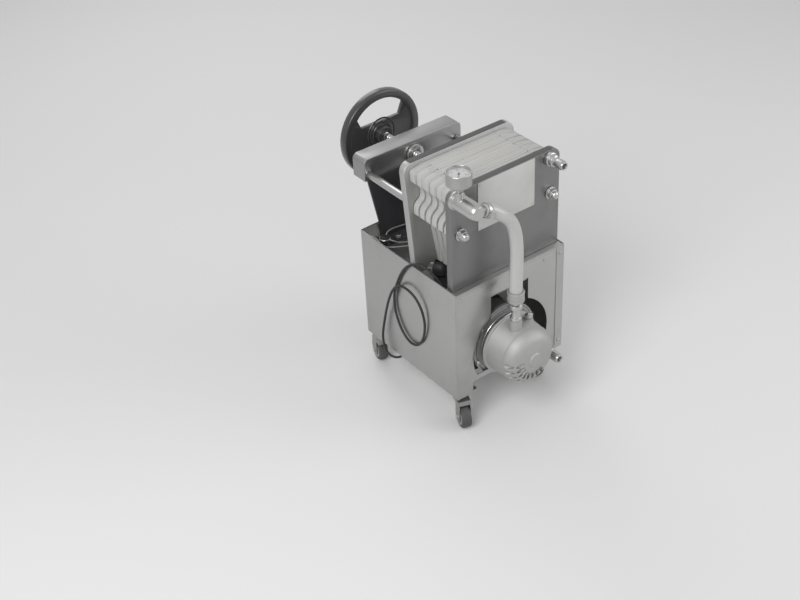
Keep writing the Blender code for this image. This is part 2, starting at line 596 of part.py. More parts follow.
def gauge():
    centre = (GAUGE_X, GAUGE_Y, 0.0)
    inner = GAUGE_RADIUS - 0.0024
    low = GAUGE_TOP - 0.027
    floor = GAUGE_TOP - 0.0075
    case = [(0.0, floor), (inner, floor), (inner, GAUGE_TOP), (GAUGE_RADIUS, GAUGE_TOP),
            (GAUGE_RADIUS, low + 0.002), (GAUGE_RADIUS - 0.002, low), (0.0068, low), (0.0068, 0.5773),
            (0.0, 0.5773)]
    turned("gauge_case", case, "z", centre, STEEL_DARK, 28)
    disc = inner - GAP
    rod("gauge_dial", disc, floor + GAP, floor + 0.0013, "z", centre, LABEL, 28)
    rod("gauge_lens", disc, GAUGE_TOP - 0.0020, GAUGE_TOP - 0.0005, "z", centre, GLASS, 28)
    needle_low = floor + 0.0016
    needle = rod("gauge_needle", 0.0025, needle_low, needle_low + 0.0012, "z", centre, BLACK, 20)
    pointer = box("needle_pointer", (-0.0065, 0.0165), (-0.0007, 0.0007), (needle_low, needle_low + 0.0008))
    pointer.location = centre
    pointer.rotation_euler = (0.0, 0.0, math.radians(225.0))
    join(needle, pointer)


# ---- mains cord ----------------------------------------------------------------------------
def cord():
    tail = Vector((-0.0640, 0.0963, 0.3190))
    aim = Vector((-0.48, 0.88, 0.0)).normalized()
    route = [
        (-0.0644, 0.1320, 0.2540), (-0.0800, 0.1328, 0.2515), (-0.0965, 0.1390, 0.2360),
        (-0.1100, 0.1510, 0.2000), (-0.1200, 0.1680, 0.1560), (-0.1280, 0.1820, 0.1150),
        (-0.1300, 0.1900, 0.0905), (-0.1325, 0.2010, 0.0740), (-0.1395, 0.2160, 0.0670),
        (-0.1460, 0.2300, 0.0740), (-0.1480, 0.2385, 0.0930), (-0.1480, 0.2400, 0.1200),
        (-0.1480, 0.2310, 0.1600), (-0.1500, 0.2180, 0.1980), (-0.1525, 0.2020, 0.2360),
        (-0.1530, 0.1850, 0.2680), (-0.1525, 0.1650, 0.2870), (-0.1520, 0.1400, 0.2920),
        (-0.1500, 0.1160, 0.2830), (-0.1480, 0.0990, 0.2600), (-0.1460, 0.0935, 0.2260),
        (-0.1450, 0.1020, 0.1870), (-0.1442, 0.1220, 0.1580), (-0.1442, 0.1490, 0.1500),
        (-0.1442, 0.1760, 0.1670), (-0.1442, 0.1940, 0.2040), (-0.1442, 0.1950, 0.2450),
        (-0.1442, 0.1830, 0.2800), (-0.1448, 0.1680, 0.3100), (-0.1460, 0.1520, 0.3330),
        (-0.1455, 0.1360, 0.3485), (-0.1415, 0.1200, 0.3575), (-0.1350, 0.1050, 0.3575),
        (-0.1290, 0.0910, 0.3500), (-0.1240, 0.0780, 0.3390), (-0.1200, 0.0650, 0.3265),
        (-0.1150, 0.0535, 0.3165), (-0.1060, 0.0445, 0.3100), (-0.0930, 0.0405, 0.3074),
        (-0.0790, 0.0420, 0.3074), (-0.0665, 0.0490, 0.3090), (-0.0575, 0.0600, 0.3120),
        (-0.0545, 0.0725, 0.3155), tail - aim * 0.013, tail - aim * 0.0005,
    ]
    wire("cord", smooth_route(route, 0.0165), CORD_RADIUS, BLACK_RUBBER, 2)

    turn = aim.to_track_quat("Z", "Y").to_euler()
    shell = [(0.0, 0.0420), (0.0165, 0.0420), (0.0165, 0.0240), (0.0130, 0.0180), (0.0060, 0.0140),
             (0.0050, 0.0), (0.0, 0.0)]
    plug = turned("plug", shell, "z", tail, BLACK_RUBBER, 32)
    plug.rotation_euler = turn
    side = aim.cross(Vector((0.0, 0.0, 1.0)))
    for sign in (-1, 1):
        pin = rod("plug_pin", 0.0024, 0.041, 0.060, "z", tail + side * (0.0095 * sign), steps=16)
        pin.rotation_euler = turn
        join(plug, pin)


trolley()
drip_tray()
castors()
motor()
pump()
frame()
closing_gear()
filter_pack()
fittings()
gauge()
cord()
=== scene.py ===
# %% [markdown]
# # A wheeled plate filter for wine
#
# The real machine is a folded stainless trolley with a motor and pump inside, a drip tray on top,
# and a pack of white plates that a screw with a black handwheel clamps between two heads.
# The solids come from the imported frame. This lesson dresses them: round pieces get soft edges and
# smooth shading, flat ones get grain and wear, and small fittings are added where they belong.

# %% Load the frame
import json
import math

import bpy
from mathutils import Matrix, Vector

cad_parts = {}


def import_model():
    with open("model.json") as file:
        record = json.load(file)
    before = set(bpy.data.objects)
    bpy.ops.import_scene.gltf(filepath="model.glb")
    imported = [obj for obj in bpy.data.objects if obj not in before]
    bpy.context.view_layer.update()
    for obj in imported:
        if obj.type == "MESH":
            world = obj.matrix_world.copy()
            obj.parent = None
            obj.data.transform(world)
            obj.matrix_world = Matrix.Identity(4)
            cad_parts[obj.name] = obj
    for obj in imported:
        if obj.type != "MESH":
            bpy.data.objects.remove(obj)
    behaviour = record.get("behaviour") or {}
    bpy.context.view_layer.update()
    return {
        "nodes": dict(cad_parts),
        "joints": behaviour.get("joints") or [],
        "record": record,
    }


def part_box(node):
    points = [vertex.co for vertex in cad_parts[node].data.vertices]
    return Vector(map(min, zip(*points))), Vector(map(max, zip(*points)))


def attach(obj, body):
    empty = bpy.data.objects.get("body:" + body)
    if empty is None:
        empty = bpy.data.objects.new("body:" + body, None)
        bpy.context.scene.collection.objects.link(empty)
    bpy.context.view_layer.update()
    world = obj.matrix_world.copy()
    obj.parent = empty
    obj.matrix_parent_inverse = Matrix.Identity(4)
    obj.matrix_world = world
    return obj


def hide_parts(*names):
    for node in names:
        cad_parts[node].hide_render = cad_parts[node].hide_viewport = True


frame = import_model()
nodes = frame["nodes"]
bodies = frame["record"]["behaviour"]["bodies"]
body_of = {node: body for body, members in bodies.items() for node in members}
panel_low, panel_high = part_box("front_panel")
FRONT, SIDE = panel_low.y, (panel_low.x + panel_high.x) / 2


def world(point):
    """A point given from the middle of the trolley's front face, in the row frame."""
    return Vector((point[0] + SIDE, point[1] + FRONT, point[2]))


print("trolley's front face at y", round(FRONT, 4), "its middle at x", round(SIDE, 4), "nodes", len(nodes))

# %% [markdown]
# ## Camera
#
# The camera looks down on the pump end from the left, from nearly three metres away. A long lens
# keeps the box edges almost parallel. The view has a roll of about three degrees, which is given to
# the camera instead of the model, so that the machine itself stands upright on the floor.

# %% Camera
AZIMUTH, ELEVATION, ROLL = (math.radians(angle) for angle in (-35.3, 36.2, -3.27))
DISTANCE, LENS_MM = 2.752, 60.0
AIM = Vector((SIDE - 0.124, 0.033, 0.216))

right = Vector((math.cos(AZIMUTH), math.sin(AZIMUTH), 0.0))
back = Vector((math.sin(AZIMUTH) * math.cos(ELEVATION), -math.cos(AZIMUTH) * math.cos(ELEVATION),
               math.sin(ELEVATION)))
up = back.cross(right)
rolled_right = right * math.cos(ROLL) + up * math.sin(ROLL)
rolled_up = up * math.cos(ROLL) - right * math.sin(ROLL)
turn = Matrix((rolled_right, rolled_up, back)).transposed()

camera = bpy.data.objects.new("camera", bpy.data.cameras.new("camera"))
bpy.context.scene.collection.objects.link(camera)
camera.matrix_world = Matrix.Translation(AIM + back * DISTANCE) @ turn.to_4x4()
camera.data.lens = LENS_MM
camera.data.sensor_width = 36.0
bpy.context.scene.camera = camera
print("camera at", [round(value, 3) for value in camera.location])

# %% [markdown]
# ## Hands and tools
#
# Each piece below starts from a primitive and is shaped in edit mode, as on a bench. Operators act
# on all that is selected, so these helpers deselect first, pick points, edges or faces by a rule,
# and settle the finished object back to the origin with its place kept in its mesh.

# %% Selecting
SELECT_MODES = {"POINT": (True, False, False), "EDGE": (False, True, False), "FACE": (False, False, True)}


def bare():
    if bpy.context.object is not None and bpy.context.object.mode != "OBJECT":
        bpy.ops.object.mode_set(mode="OBJECT")
    bpy.ops.object.select_all(action="DESELECT")


def hold(*objects):
    bare()
    for item in objects:
        item.select_set(True)
    bpy.context.view_layer.objects.active = objects[0]
    return objects[0]


def enter(piece, mode="FACE"):
    hold(piece)
    bpy.context.tool_settings.mesh_select_mode = SELECT_MODES[mode]
    bpy.ops.object.mode_set(mode="EDIT")


def choose(piece, rule, mode="FACE"):
    """Leave edit mode, select what passes the rule by its middle point, and go back in."""
    bare()
    mesh = piece.data
    for group in (mesh.vertices, mesh.edges, mesh.polygons):
        group.foreach_set("select", [False] * len(group))
    if mode == "FACE":
        for face in mesh.polygons:
            face.select = rule(face.center, face.normal)
    elif mode == "EDGE":
        for edge in mesh.edges:
            start, end = (mesh.vertices[i].co for i in edge.vertices)
            edge.select = rule((start + end) / 2, end - start)
    else:
        for point in mesh.vertices:
            point.select = rule(point.co, point.normal)
    enter(piece, mode)


def settle(piece, smooth_angle=35.0):
    """Apply the object's place to its mesh and shade it smooth across soft edges."""
    hold(piece)
    bpy.ops.object.transform_apply(location=True, rotation=True, scale=True)
    bpy.ops.object.shade_smooth_by_angle(angle=math.radians(smooth_angle))
    return piece


def fit_modifier(piece, kind, **settings):
    hold(piece)
    modifier = piece.modifiers.new(kind.lower(), kind)
    for key, value in settings.items():
        setattr(modifier, key, value)
    bpy.ops.object.modifier_apply(modifier=modifier.name)
    return piece


def soften(piece, width, segments=2, angle=30.0):
    return fit_modifier(piece, "BEVEL", width=width, segments=segments, limit_method="ANGLE",
                        angle_limit=math.radians(angle), use_clamp_overlap=False)


def copy_of(piece, name):
    twin = bpy.data.objects.new(name, piece.data.copy())
    bpy.context.scene.collection.objects.link(twin)
    return twin


def merged(name, pieces):
    """Join pieces into one object."""
    hold(*pieces)
    bpy.ops.object.join()
    pieces[0].name = name
    return pieces[0]


def wear(piece, finish, body):
    """Give a finished piece its material and its body."""
    piece.data.materials.clear()
    piece.data.materials.append(finish)
    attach(piece, body)
    return piece


# %% [markdown]
# ## Basic shapes
#
# A lathe piece is drawn up from a disc: its rim is extruded and scaled through stations of radius
# and height. It is made at the origin, then stood along its axis. A turned profile could also be
# spun, but drawing it up keeps every ring of points level and easy to pick later.

# %% Lathe
STAND = {"Z": (0, 0, 0), "Y": (-math.pi / 2, 0, 0), "-Y": (math.pi / 2, 0, 0),
         "X": (0, math.pi / 2, 0), "-X": (0, -math.pi / 2, 0)}
NEARLY = 1e-6


def lathe(name, stations, centre=(0, 0, 0), axis="Z", steps=48, pipe=False, turned=None):
    """Stations are (radius, height). A pipe's last station is bridged back to its first."""
    bare()
    radius, height = stations[0]
    fill = "NOTHING" if pipe else "NGON"
    bpy.ops.mesh.primitive_circle_add(vertices=steps, radius=radius, fill_type=fill, location=(0, 0, 0))
    piece = bpy.context.object
    piece.name = name
    enter(piece, "EDGE" if pipe else "FACE")
    bpy.ops.mesh.select_all(action="SELECT")
    bpy.ops.transform.translate(value=(0, 0, height))
    for wider, higher in stations[1:]:
        bpy.ops.mesh.extrude_region_move(TRANSFORM_OT_translate={"value": (0, 0, higher - height)})
        scale = wider / radius
        bpy.ops.transform.resize(value=(scale, scale, 1), center_override=(0, 0, higher))
        radius, height = wider, higher
    if pipe:
        first, last = stations[0], stations[-1]

        def on_end_loops(middle, direction):
            level = abs(direction.z) < NEARLY / 10
            rims = [(r * math.cos(math.pi / steps), z) for r, z in (first, last)]
            close = [abs(middle.z - z) < NEARLY and abs(middle.xy.length - r) < NEARLY for r, z in rims]
            return level and any(close)
        choose(piece, on_end_loops, "EDGE")
        bpy.ops.mesh.bridge_edge_loops()
    bpy.ops.mesh.select_all(action="SELECT")
    bpy.ops.mesh.normals_make_consistent(inside=False)
    bare()
    piece.rotation_euler = STAND[axis] if turned is None else turned
    piece.location = centre
    return settle(piece)


# %% [markdown]
# ## Blocks, screws and bolts
#
# A block is a cube stretched between two corners, with its edges softened. A pan-head screw gets
# its recess by insetting the top face and pushing it down. A bolt is a six-sided lathe piece that
# stands on a round washer, and the two are joined.

# %% Block, screw and bolt
def block(name, low, high, edge=0.0, segments=2):
    bare()
    low, high = Vector(low), Vector(high)
    bpy.ops.mesh.primitive_cube_add(size=1.0, location=(low + high) / 2)
    piece = bpy.context.object
    piece.name = name
    piece.scale = high - low
    settle(piece)
    if edge:
        soften(piece, edge, segments)
        settle(piece)
    return piece


def pan_screw(name, centre, axis, radius=0.0034, height=0.0020):
    """A pan-head screw with a round recess, standing on its centre point."""
    head = lathe(name, [(radius, 0.0), (radius, height * 0.45), (radius * 0.82, height * 0.85),
                        (radius * 0.62, height)], steps=24)
    choose(head, lambda middle, normal: middle.z > height * 0.99)
    bpy.ops.mesh.inset(thickness=radius * 0.14, depth=0.0)
    bpy.ops.mesh.extrude_region_move(TRANSFORM_OT_translate={"value": (0, 0, -height * 0.5)})
    bare()
    head.rotation_euler = STAND[axis]
    head.location = centre
    return settle(head, 25.0)


def hex_bolt(name, centre, axis, across=0.010, height=0.0045, washer=0.0064):
    """A hexagon head on its washer."""
    ring = lathe(name + "_washer", [(washer, 0.0), (washer, 0.0010), (washer * 0.9, 0.0012)], steps=24)
    crown = lathe(name, [(across / math.sqrt(3), 0.0012), (across / math.sqrt(3), height * 0.85),
                         (across / math.sqrt(3) * 0.86, height)], steps=6)
    piece = merged(name, [crown, ring])
    piece.rotation_euler = STAND[axis]
    piece.location = centre
    return settle(piece, 20.0)


# %% [markdown]
# ## Copies of the solids
#
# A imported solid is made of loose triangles, so light breaks on each of them. A copy is merged and
# its flat triangles are dissolved, then its edges are bevelled by a fraction of a millimetre: a
# real edge always shows a thin bright line. The copy stands for the solid, which stays hidden.

# %% Dressing a solid
def dressed(node, finish, edge=0.0005, segments=2, angle=30.0, smooth=35.0, whole_faces=True):
    """whole_faces is off where a flat face has a window, which dissolving would close."""
    mesh = nodes[node].data.copy()
    piece = bpy.data.objects.new(node + "_finished", mesh)
    bpy.context.scene.collection.objects.link(piece)
    enter(piece, "POINT")
    bpy.ops.mesh.select_all(action="SELECT")
    bpy.ops.mesh.remove_doubles(threshold=0.00002)
    if whole_faces:
        bpy.ops.mesh.dissolve_limited(angle_limit=math.radians(0.6))
    bare()
    if edge:
        soften(piece, edge, segments, angle)
    settle(piece, smooth)
    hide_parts(node)
    return wear(piece, finish.material, body_of[node])


# %% [markdown]
# ## Shader maths
#
# A material is a small graph of nodes. The class below wraps an output socket, so that a mask can
# be written as an ordinary expression, and each operator adds its own Math node. Every other node
# comes from one method that takes its type, its settings and its sockets.

# %% Signal and Finish
OBJECT_COORDINATES = 3      # the place of that output on a Texture Coordinate node


class Signal:
    def __init__(self, finish, socket):
        self.finish, self.socket = finish, socket

    def math(self, operation, *values, clamp=False):
        settings = {"operation": operation, "use_clamp": clamp}
        return self.finish.node("ShaderNodeMath", settings, dict(enumerate(values)))

    def __add__(self, other):
        return self.math("ADD", self, other)

    __radd__ = __add__

    def __sub__(self, other):
        return self.math("SUBTRACT", self, other)

    def __rsub__(self, other):
        return self.math("SUBTRACT", other, self)

    def __mul__(self, other):
        return self.math("MULTIPLY", self, other)

    __rmul__ = __mul__

    def band(self, low, high):
        """0 below low, 1 above high, and a straight slope between."""
        return self.math("MULTIPLY", self - low, 1.0 / (high - low), clamp=True)


class Finish:
    def __init__(self, name, colour, roughness, metallic=0.0, **fixed):
        self.material = bpy.data.materials.new(name)
        self.material.use_nodes = True
        self.tree = self.material.node_tree
        self.shader = self.tree.nodes["Principled BSDF"]
        self.colour, self.roughness = (*colour, 1.0), roughness
        self.bumped = None
        fixed = {"Base Color": self.colour, "Roughness": roughness, "Metallic": metallic, **fixed}
        for socket, value in fixed.items():
            self.shader.inputs[socket].default_value = value

    def node(self, kind, settings=None, sockets=None, output=0):
        made = self.tree.nodes.new(kind)
        for key, value in (settings or {}).items():
            setattr(made, key, value)
        for key, value in (sockets or {}).items():
            if isinstance(value, Signal):
                self.tree.links.new(value.socket, made.inputs[key])
            else:
                made.inputs[key].default_value = value
        return Signal(self, made.outputs[output])

    def place(self, stretch=(1.0, 1.0, 1.0)):
        """Object coordinates in metres, multiplied by stretch along each axis."""
        spot = self.node("ShaderNodeTexCoord", output=OBJECT_COORDINATES)
        return self.node("ShaderNodeVectorMath", {"operation": "MULTIPLY"}, {0: spot, 1: stretch})

    def noise(self, scale, stretch=(1.0, 1.0, 1.0), detail=3.0, rough=0.55):
        sockets = {"Vector": self.place(stretch), "Scale": scale, "Detail": detail, "Roughness": rough}
        return self.node("ShaderNodeTexNoise", None, sockets)

    def cells(self, scale, stretch=(1.0, 1.0, 1.0)):
        return self.node("ShaderNodeTexVoronoi", None, {"Vector": self.place(stretch), "Scale": scale})

    def mix(self, mask, first, second):
        return self.node("ShaderNodeMix", {"data_type": "RGBA"}, {0: mask, 6: first, 7: second}, output=2)

    def tint(self, mask, other):
        """Blend the present base colour towards another where the mask is 1."""
        mixed = self.mix(mask, self.colour, (*other, 1.0))
        self.colour = mixed
        self.tree.links.new(mixed.socket, self.shader.inputs["Base Color"])
        return self

    def rough(self, signal):
        self.roughness = self.roughness + signal
        self.tree.links.new(self.roughness.socket, self.shader.inputs["Roughness"])
        return self

    def relief(self, height, depth, strength=1.0):
        """Bump of a real depth in metres, laid over any bump already there."""
        sockets = {"Height": height, "Distance": depth, "Strength": strength}
        if self.bumped is not None:
            sockets["Normal"] = self.bumped
        self.bumped = self.node("ShaderNodeBump", None, sockets)
        self.tree.links.new(self.bumped.socket, self.shader.inputs["Normal"])
        return self


# %% [markdown]
# ## Metals
#
# Stainless sheet is ground with a belt, which leaves fine lines along the sheet. Noise stretched
# several hundred times along one axis gives those lines to roughness, colour and bump together,
# and a second, cloudy noise adds the handling marks that every kitchen-bright surface has.

# %% Brushed metal
def brushed(name, colour, roughness, across, depth=0.00002):
    """across is the stretch that is large across the grinding lines."""
    finish = Finish(name, colour, roughness, 1.0)
    lines = finish.noise(1.0, across, detail=4.0, rough=0.7)
    smear = finish.noise(9.0, detail=4.0)
    dark = tuple(value * 0.72 for value in colour)
    light = tuple(min(1.0, value * 1.18) for value in colour)
    finish.tint(lines.band(0.35, 0.75) * 0.55, light)
    finish.tint(smear.band(0.52, 0.80) * 0.45, dark)
    finish.rough((lines - 0.5) * 0.22 + smear.band(0.45, 0.75) * 0.12)
    return finish.relief(lines, depth, 0.6)


sheet_steel = brushed("sheet_steel", (0.45, 0.45, 0.446), 0.36, (7.0, 7.0, 900.0))
tray_steel = brushed("tray_steel", (0.46, 0.46, 0.455), 0.36, (900.0, 7.0, 120.0))
tall_grain = (900.0, 90.0, 6.0)
# The heads are copies of one stainless: the fixed head's dark colour is a painted dark reflection, and the
# moving head's lighter colour is painted light on its shaded face.
fixed_head_painted_dark = brushed("fixed_head_metal_painted_dark", (0.24, 0.24, 0.242), 0.42, tall_grain)
moving_head_painted_light = brushed("moving_head_metal_painted_light", (0.50, 0.50, 0.496), 0.52, tall_grain)
bar_steel = brushed("bar_steel", (0.35, 0.35, 0.35), 0.36, (6.0, 700.0, 700.0))


# %% [markdown]
# ## Painted dark edges, polish and castings
#
# Three more metals share the shader. The heads' top edge above a height is painted dark, a painted
# reflection of the dark surroundings. Fittings are polished and scuffed by spanners. Cast pieces are
# bead-blasted, which leaves a dense pitted grain, so their roughness is high and their relief deeper.

# %% Painted dark edges, polished and cast metal
def painted_dark_top_edge(finish, height):
    """Ground faces keep the base colour; the top edge above a height is painted dark, a painted reflection
    of the dark surroundings.
    """
    spot = finish.node("ShaderNodeSeparateXYZ", None, {"Vector": finish.place()}, output=2)
    dark_reflection_mask = spot.band(height - 0.0006, height - 0.0002)
    # The tint paints the dark reflection onto the top edge.
    finish.tint(dark_reflection_mask, (0.16, 0.16, 0.162))
    return finish.rough(dark_reflection_mask * 0.2)


head_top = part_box("fixed_head")[1].z
painted_dark_top_edge(fixed_head_painted_dark, head_top)
painted_dark_top_edge(moving_head_painted_light, head_top)


def polished(name, colour, roughness):
    finish = Finish(name, colour, roughness, 1.0)
    scuff = finish.noise(260.0, (1.0, 0.25, 1.0), detail=5.0)
    haze = finish.noise(30.0, detail=3.0)
    finish.rough(scuff.band(0.55, 0.85) * 0.16 + haze.band(0.4, 0.8) * 0.07)
    return finish.relief(scuff, 0.00001, 0.35)


chrome = polished("chrome_fitting", (0.52, 0.52, 0.515), 0.28)
dull_zinc = polished("dull_zinc", (0.34, 0.34, 0.335), 0.36)
gauge_steel = polished("gauge_steel", (0.44, 0.44, 0.436), 0.32)


def casting(name, colour):
    """Bead-blasted cast metal: a dense pitted grain with slow darker clouds."""
    finish = Finish(name, colour, 0.62, 0.75)
    grain = finish.noise(900.0, detail=2.0)
    pits = finish.cells(520.0)
    clouds = finish.noise(18.0, detail=4.0)
    finish.tint(clouds.band(0.45, 0.75) * 0.35, tuple(value * 0.7 for value in colour))
    finish.rough((grain - 0.5) * 0.2)
    finish.relief(grain, 0.00008, 0.7)
    return finish.relief(pits, 0.00005, 0.4)


cast_metal = casting("cast_metal", (0.45, 0.45, 0.442))
iron_ring = casting("iron_ring", (0.31, 0.31, 0.313))

# %% [markdown]
# ## Paint, plastic, rubber and board
#
# These have almost the same shader and differ in their surface. Spark-eroded moulds leave a fine
# even grain on plastic, paint dries with the slow waves called orange peel, rubber is dull with
# dusty patches, and filter board is a felt of pressed fibres.

# %% Moulded plastics
def moulded(name, colour, roughness, grain_size=1500.0, depth=0.00003, **fixed):
    finish = Finish(name, colour, roughness, **fixed)
    grain = finish.noise(grain_size, detail=2.0)
    handling = finish.noise(22.0, detail=4.0)
    finish.tint(handling.band(0.5, 0.8) * 0.35, tuple(min(1.0, value * 0.78 + 0.012) for value in colour))
    finish.rough(handling.band(0.42, 0.75) * 0.14 - 0.03)
    return finish.relief(grain, depth, 0.6)


wheel_black = moulded("wheel_black", (0.034, 0.034, 0.035), 0.34,
                      **{"Coat Weight": 0.6, "Coat Roughness": 0.25})
black_plastic = moulded("black_plastic", (0.028, 0.028, 0.030), 0.42)
plate_white = moulded("plate_white", (0.47, 0.47, 0.459), 0.46, 900.0)
hub_grey = moulded("hub_grey", (0.30, 0.30, 0.30), 0.45)
blank_label = moulded("blank_label", (0.57, 0.57, 0.56), 0.34, 2200.0, 0.00001)

# %% Painted, rubber and fibre surfaces
def painted(name, colour, chipped):
    """Orange peel under a semi-matt coat, with a few small chips where things knock."""
    finish = Finish(name, colour, 0.38)
    peel = finish.noise(380.0, detail=1.0)
    knocks = finish.noise(55.0, detail=6.0, rough=0.75).band(0.70, 0.73)
    finish.tint(knocks, chipped)
    finish.rough((peel - 0.5) * 0.16 + knocks * 0.2)
    finish.relief(peel, 0.00006, 0.5)
    return finish.relief(1 - knocks, 0.00004, 0.8)


# The yoke column is stainless sheet: its near-black colour is a painted dark reflection, and the peel and
# chips come from the paint shader.
dark_paint = painted("dark_paint", (0.030, 0.030, 0.033), (0.16, 0.16, 0.16))
motor_paint = painted("motor_paint", (0.11, 0.115, 0.125), (0.24, 0.24, 0.24))


def rubbery(name, colour, roughness):
    finish = Finish(name, colour, roughness)
    fine = finish.noise(1300.0, detail=3.0)
    dust = finish.noise(35.0, detail=5.0)
    finish.tint(dust.band(0.5, 0.78) * 0.4, tuple(value * 1.6 + 0.02 for value in colour))
    finish.rough((fine - 0.5) * 0.15)
    return finish.relief(fine, 0.00006, 0.6)


cord_rubber = rubbery("cord_rubber", (0.020, 0.020, 0.021), 0.55)
tread_rubber = rubbery("tread_rubber", (0.075, 0.075, 0.078), 0.70)

board = Finish("filter_board", (0.56, 0.545, 0.50), 0.92)
fibres = board.noise(260.0, (1.0, 1.0, 6.0), detail=6.0, rough=0.75)
board.tint(fibres.band(0.45, 0.7) * 0.5, (0.49, 0.47, 0.42)).relief(fibres, 0.0003, 0.8)

hose_skin = Finish("milky_hose", (0.51, 0.518, 0.505), 0.30, **{"Subsurface Weight": 0.25,
                   "Subsurface Radius": (0.006, 0.006, 0.005), "Coat Weight": 0.25})
streaks = hose_skin.noise(60.0, (5.0, 5.0, 0.35), detail=3.0)
hose_skin.tint(streaks.band(0.45, 0.75) * 0.4, (0.43, 0.438, 0.42))
hose_skin.rough((streaks - 0.5) * 0.2).relief(streaks, 0.00012, 0.5)

glass = Finish("gauge_glass", (0.92, 0.94, 0.94), 0.04, **{"Alpha": 0.10, "IOR": 1.5})
glass.rough(glass.noise(80.0, detail=3.0).band(0.5, 0.8) * 0.08)
ink = moulded("dial_ink", (0.03, 0.03, 0.03), 0.6)
print(len(bpy.data.materials), "materials ready")

# %% [markdown]
# ## The mains cord
#
# The cord leaves the terminal box inside the trolley and drops out through a notch in the base
# plate. Outside it climbs the left wall, turns once round in a loose loop and goes over the wall
# into the tray, where the plug lies beside the plates. It is one smooth curve of round section.

# %% Cord route
CORD_RADIUS = 0.0026
CORD_ROUTE = [
    (-0.0644, 0.1320, 0.2540), (-0.0800, 0.1328, 0.2515), (-0.0965, 0.1390, 0.2360),
    (-0.1100, 0.1510, 0.2000), (-0.1200, 0.1680, 0.1560), (-0.1280, 0.1820, 0.1150),
    (-0.1300, 0.1900, 0.0905), (-0.1325, 0.2010, 0.0740), (-0.1395, 0.2160, 0.0670),
    (-0.1460, 0.2300, 0.0740), (-0.1480, 0.2385, 0.0930), (-0.1480, 0.2400, 0.1200),
    (-0.1480, 0.2310, 0.1600), (-0.1500, 0.2180, 0.1980), (-0.1525, 0.2020, 0.2360),
    (-0.1530, 0.1850, 0.2680), (-0.1525, 0.1650, 0.2870), (-0.1520, 0.1400, 0.2920),
    (-0.1500, 0.1160, 0.2830), (-0.1480, 0.0990, 0.2600), (-0.1460, 0.0935, 0.2260),
    (-0.1450, 0.1020, 0.1870), (-0.1442, 0.1220, 0.1580), (-0.1442, 0.1490, 0.1500),
    (-0.1442, 0.1760, 0.1670), (-0.1442, 0.1940, 0.2040), (-0.1442, 0.1950, 0.2450),
    (-0.1442, 0.1830, 0.2800), (-0.1448, 0.1680, 0.3100), (-0.1460, 0.1520, 0.3330),
    (-0.1455, 0.1360, 0.3485), (-0.1415, 0.1200, 0.3575), (-0.1350, 0.1050, 0.3575),
    (-0.1290, 0.0910, 0.3500), (-0.1240, 0.0780, 0.3390), (-0.1200, 0.0650, 0.3265),
    (-0.1150, 0.0535, 0.3165), (-0.1060, 0.0445, 0.3100), (-0.0930, 0.0405, 0.3074),
    (-0.0790, 0.0420, 0.3074), (-0.0665, 0.0490, 0.3090), (-0.0575, 0.0600, 0.3120),
    (-0.0545, 0.0725, 0.3155),
]
PLUG_TAIL = Vector((-0.0640, 0.0963, 0.3190))
PLUG_AIM = Vector((-0.48, 0.88, 0.0)).normalized()
CORD_ROUTE += [tuple(PLUG_TAIL - PLUG_AIM * 0.013), tuple(PLUG_TAIL - PLUG_AIM * 0.0005)]


def smooth_route(points, per_span):
    """Points on a smooth curve that passes through the given ones."""
    route = [Vector(point) for point in points]
    ends = [route[0] * 2 - route[1], *route, route[-1] * 2 - route[-2]]
    dense = []
    for a, b, c, d in zip(ends, ends[1:], ends[2:], ends[3:]):
        for step in range(per_span):
            t = step / per_span
            cubic = (b * 3 - a - c * 3 + d) * t ** 3
            dense.append((b * 2 + (c - a) * t + (a * 2 - b * 5 + c * 4 - d) * t ** 2 + cubic) / 2)
    return [*dense, route[-1]]


def tube(name, points, radius, resolution=6):
    curve = bpy.data.curves.new(name, "CURVE")
    curve.dimensions = "3D"
    curve.bevel_depth = radius
    curve.bevel_resolution = resolution
    curve.use_fill_caps = True
    spline = curve.splines.new("POLY")
    spline.points.add(len(points) - 1)
    for target, point in zip(spline.points, points):
        target.co = (*point, 1.0)
    spline.use_smooth = True
    piece = bpy.data.objects.new(name, curve)
    bpy.context.scene.collection.objects.link(piece)
    return piece


cord_line = [world(point) for point in smooth_route(CORD_ROUTE, 6)]
cord = tube("mains_cord", cord_line, CORD_RADIUS)
wear(cord, cord_rubber.material, "trolley")
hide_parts("cord")

# %% [markdown]
# ## Plug and strain reliefs
#
# The plug's body is a copy of its solid in rubber, with finger ribs moulded round it. The pins are
# bright metal, so they are pieces of their own. Where the cord leaves a housing it runs through a
# tapered sleeve, which stops it from kinking: a short curve whose radius falls along its length.

# %% Plug
plug = dressed("plug", cord_rubber, 0.0006, 2)
plug_turn = PLUG_AIM.to_track_quat("Z", "Y").to_euler()
plug_side = PLUG_AIM.cross(Vector((0.0, 0.0, 1.0)))
PIN_FOOT, PIN_OFFSET = 0.0425, 0.0095
FIRST_RIB, RIB_STEP = 0.0255, 0.0032
for side, label in ((-1, "left"), (1, "right")):
    foot = world(PLUG_TAIL + PLUG_AIM * PIN_FOOT + plug_side * (PIN_OFFSET * side))
    pin = lathe("plug_pin_" + label, [(0.00252, 0.0), (0.00252, 0.0165), (0.0019, 0.0178)], foot,
                steps=24, turned=plug_turn)
    wear(pin, chrome.material, "trolley")
for index in range(4):
    foot = world(PLUG_TAIL + PLUG_AIM * (FIRST_RIB + RIB_STEP * index))
    rib = lathe("plug_rib_%d" % (index + 1), [(0.0160, 0.0), (0.0170, 0.0005), (0.0170, 0.0013),
                (0.0160, 0.0018)], foot, steps=40, turned=plug_turn)
    wear(rib, cord_rubber.material, "trolley")


def sleeve(name, points, thick, thin):
    """A tapered strain relief along the cord, with soft rings."""
    curve = tube(name, points, 1.0, 5)
    last = len(points) - 1
    for index, point in enumerate(curve.data.splines[0].points):
        share = index / last
        ridge = 0.0004 if index % 4 < 2 and 0 < index < last else 0.0
        point.radius = thick + (thin - thick) * share + ridge
    hold(curve)
    bpy.ops.object.convert(target="MESH")
    return settle(bpy.context.object, 40.0)


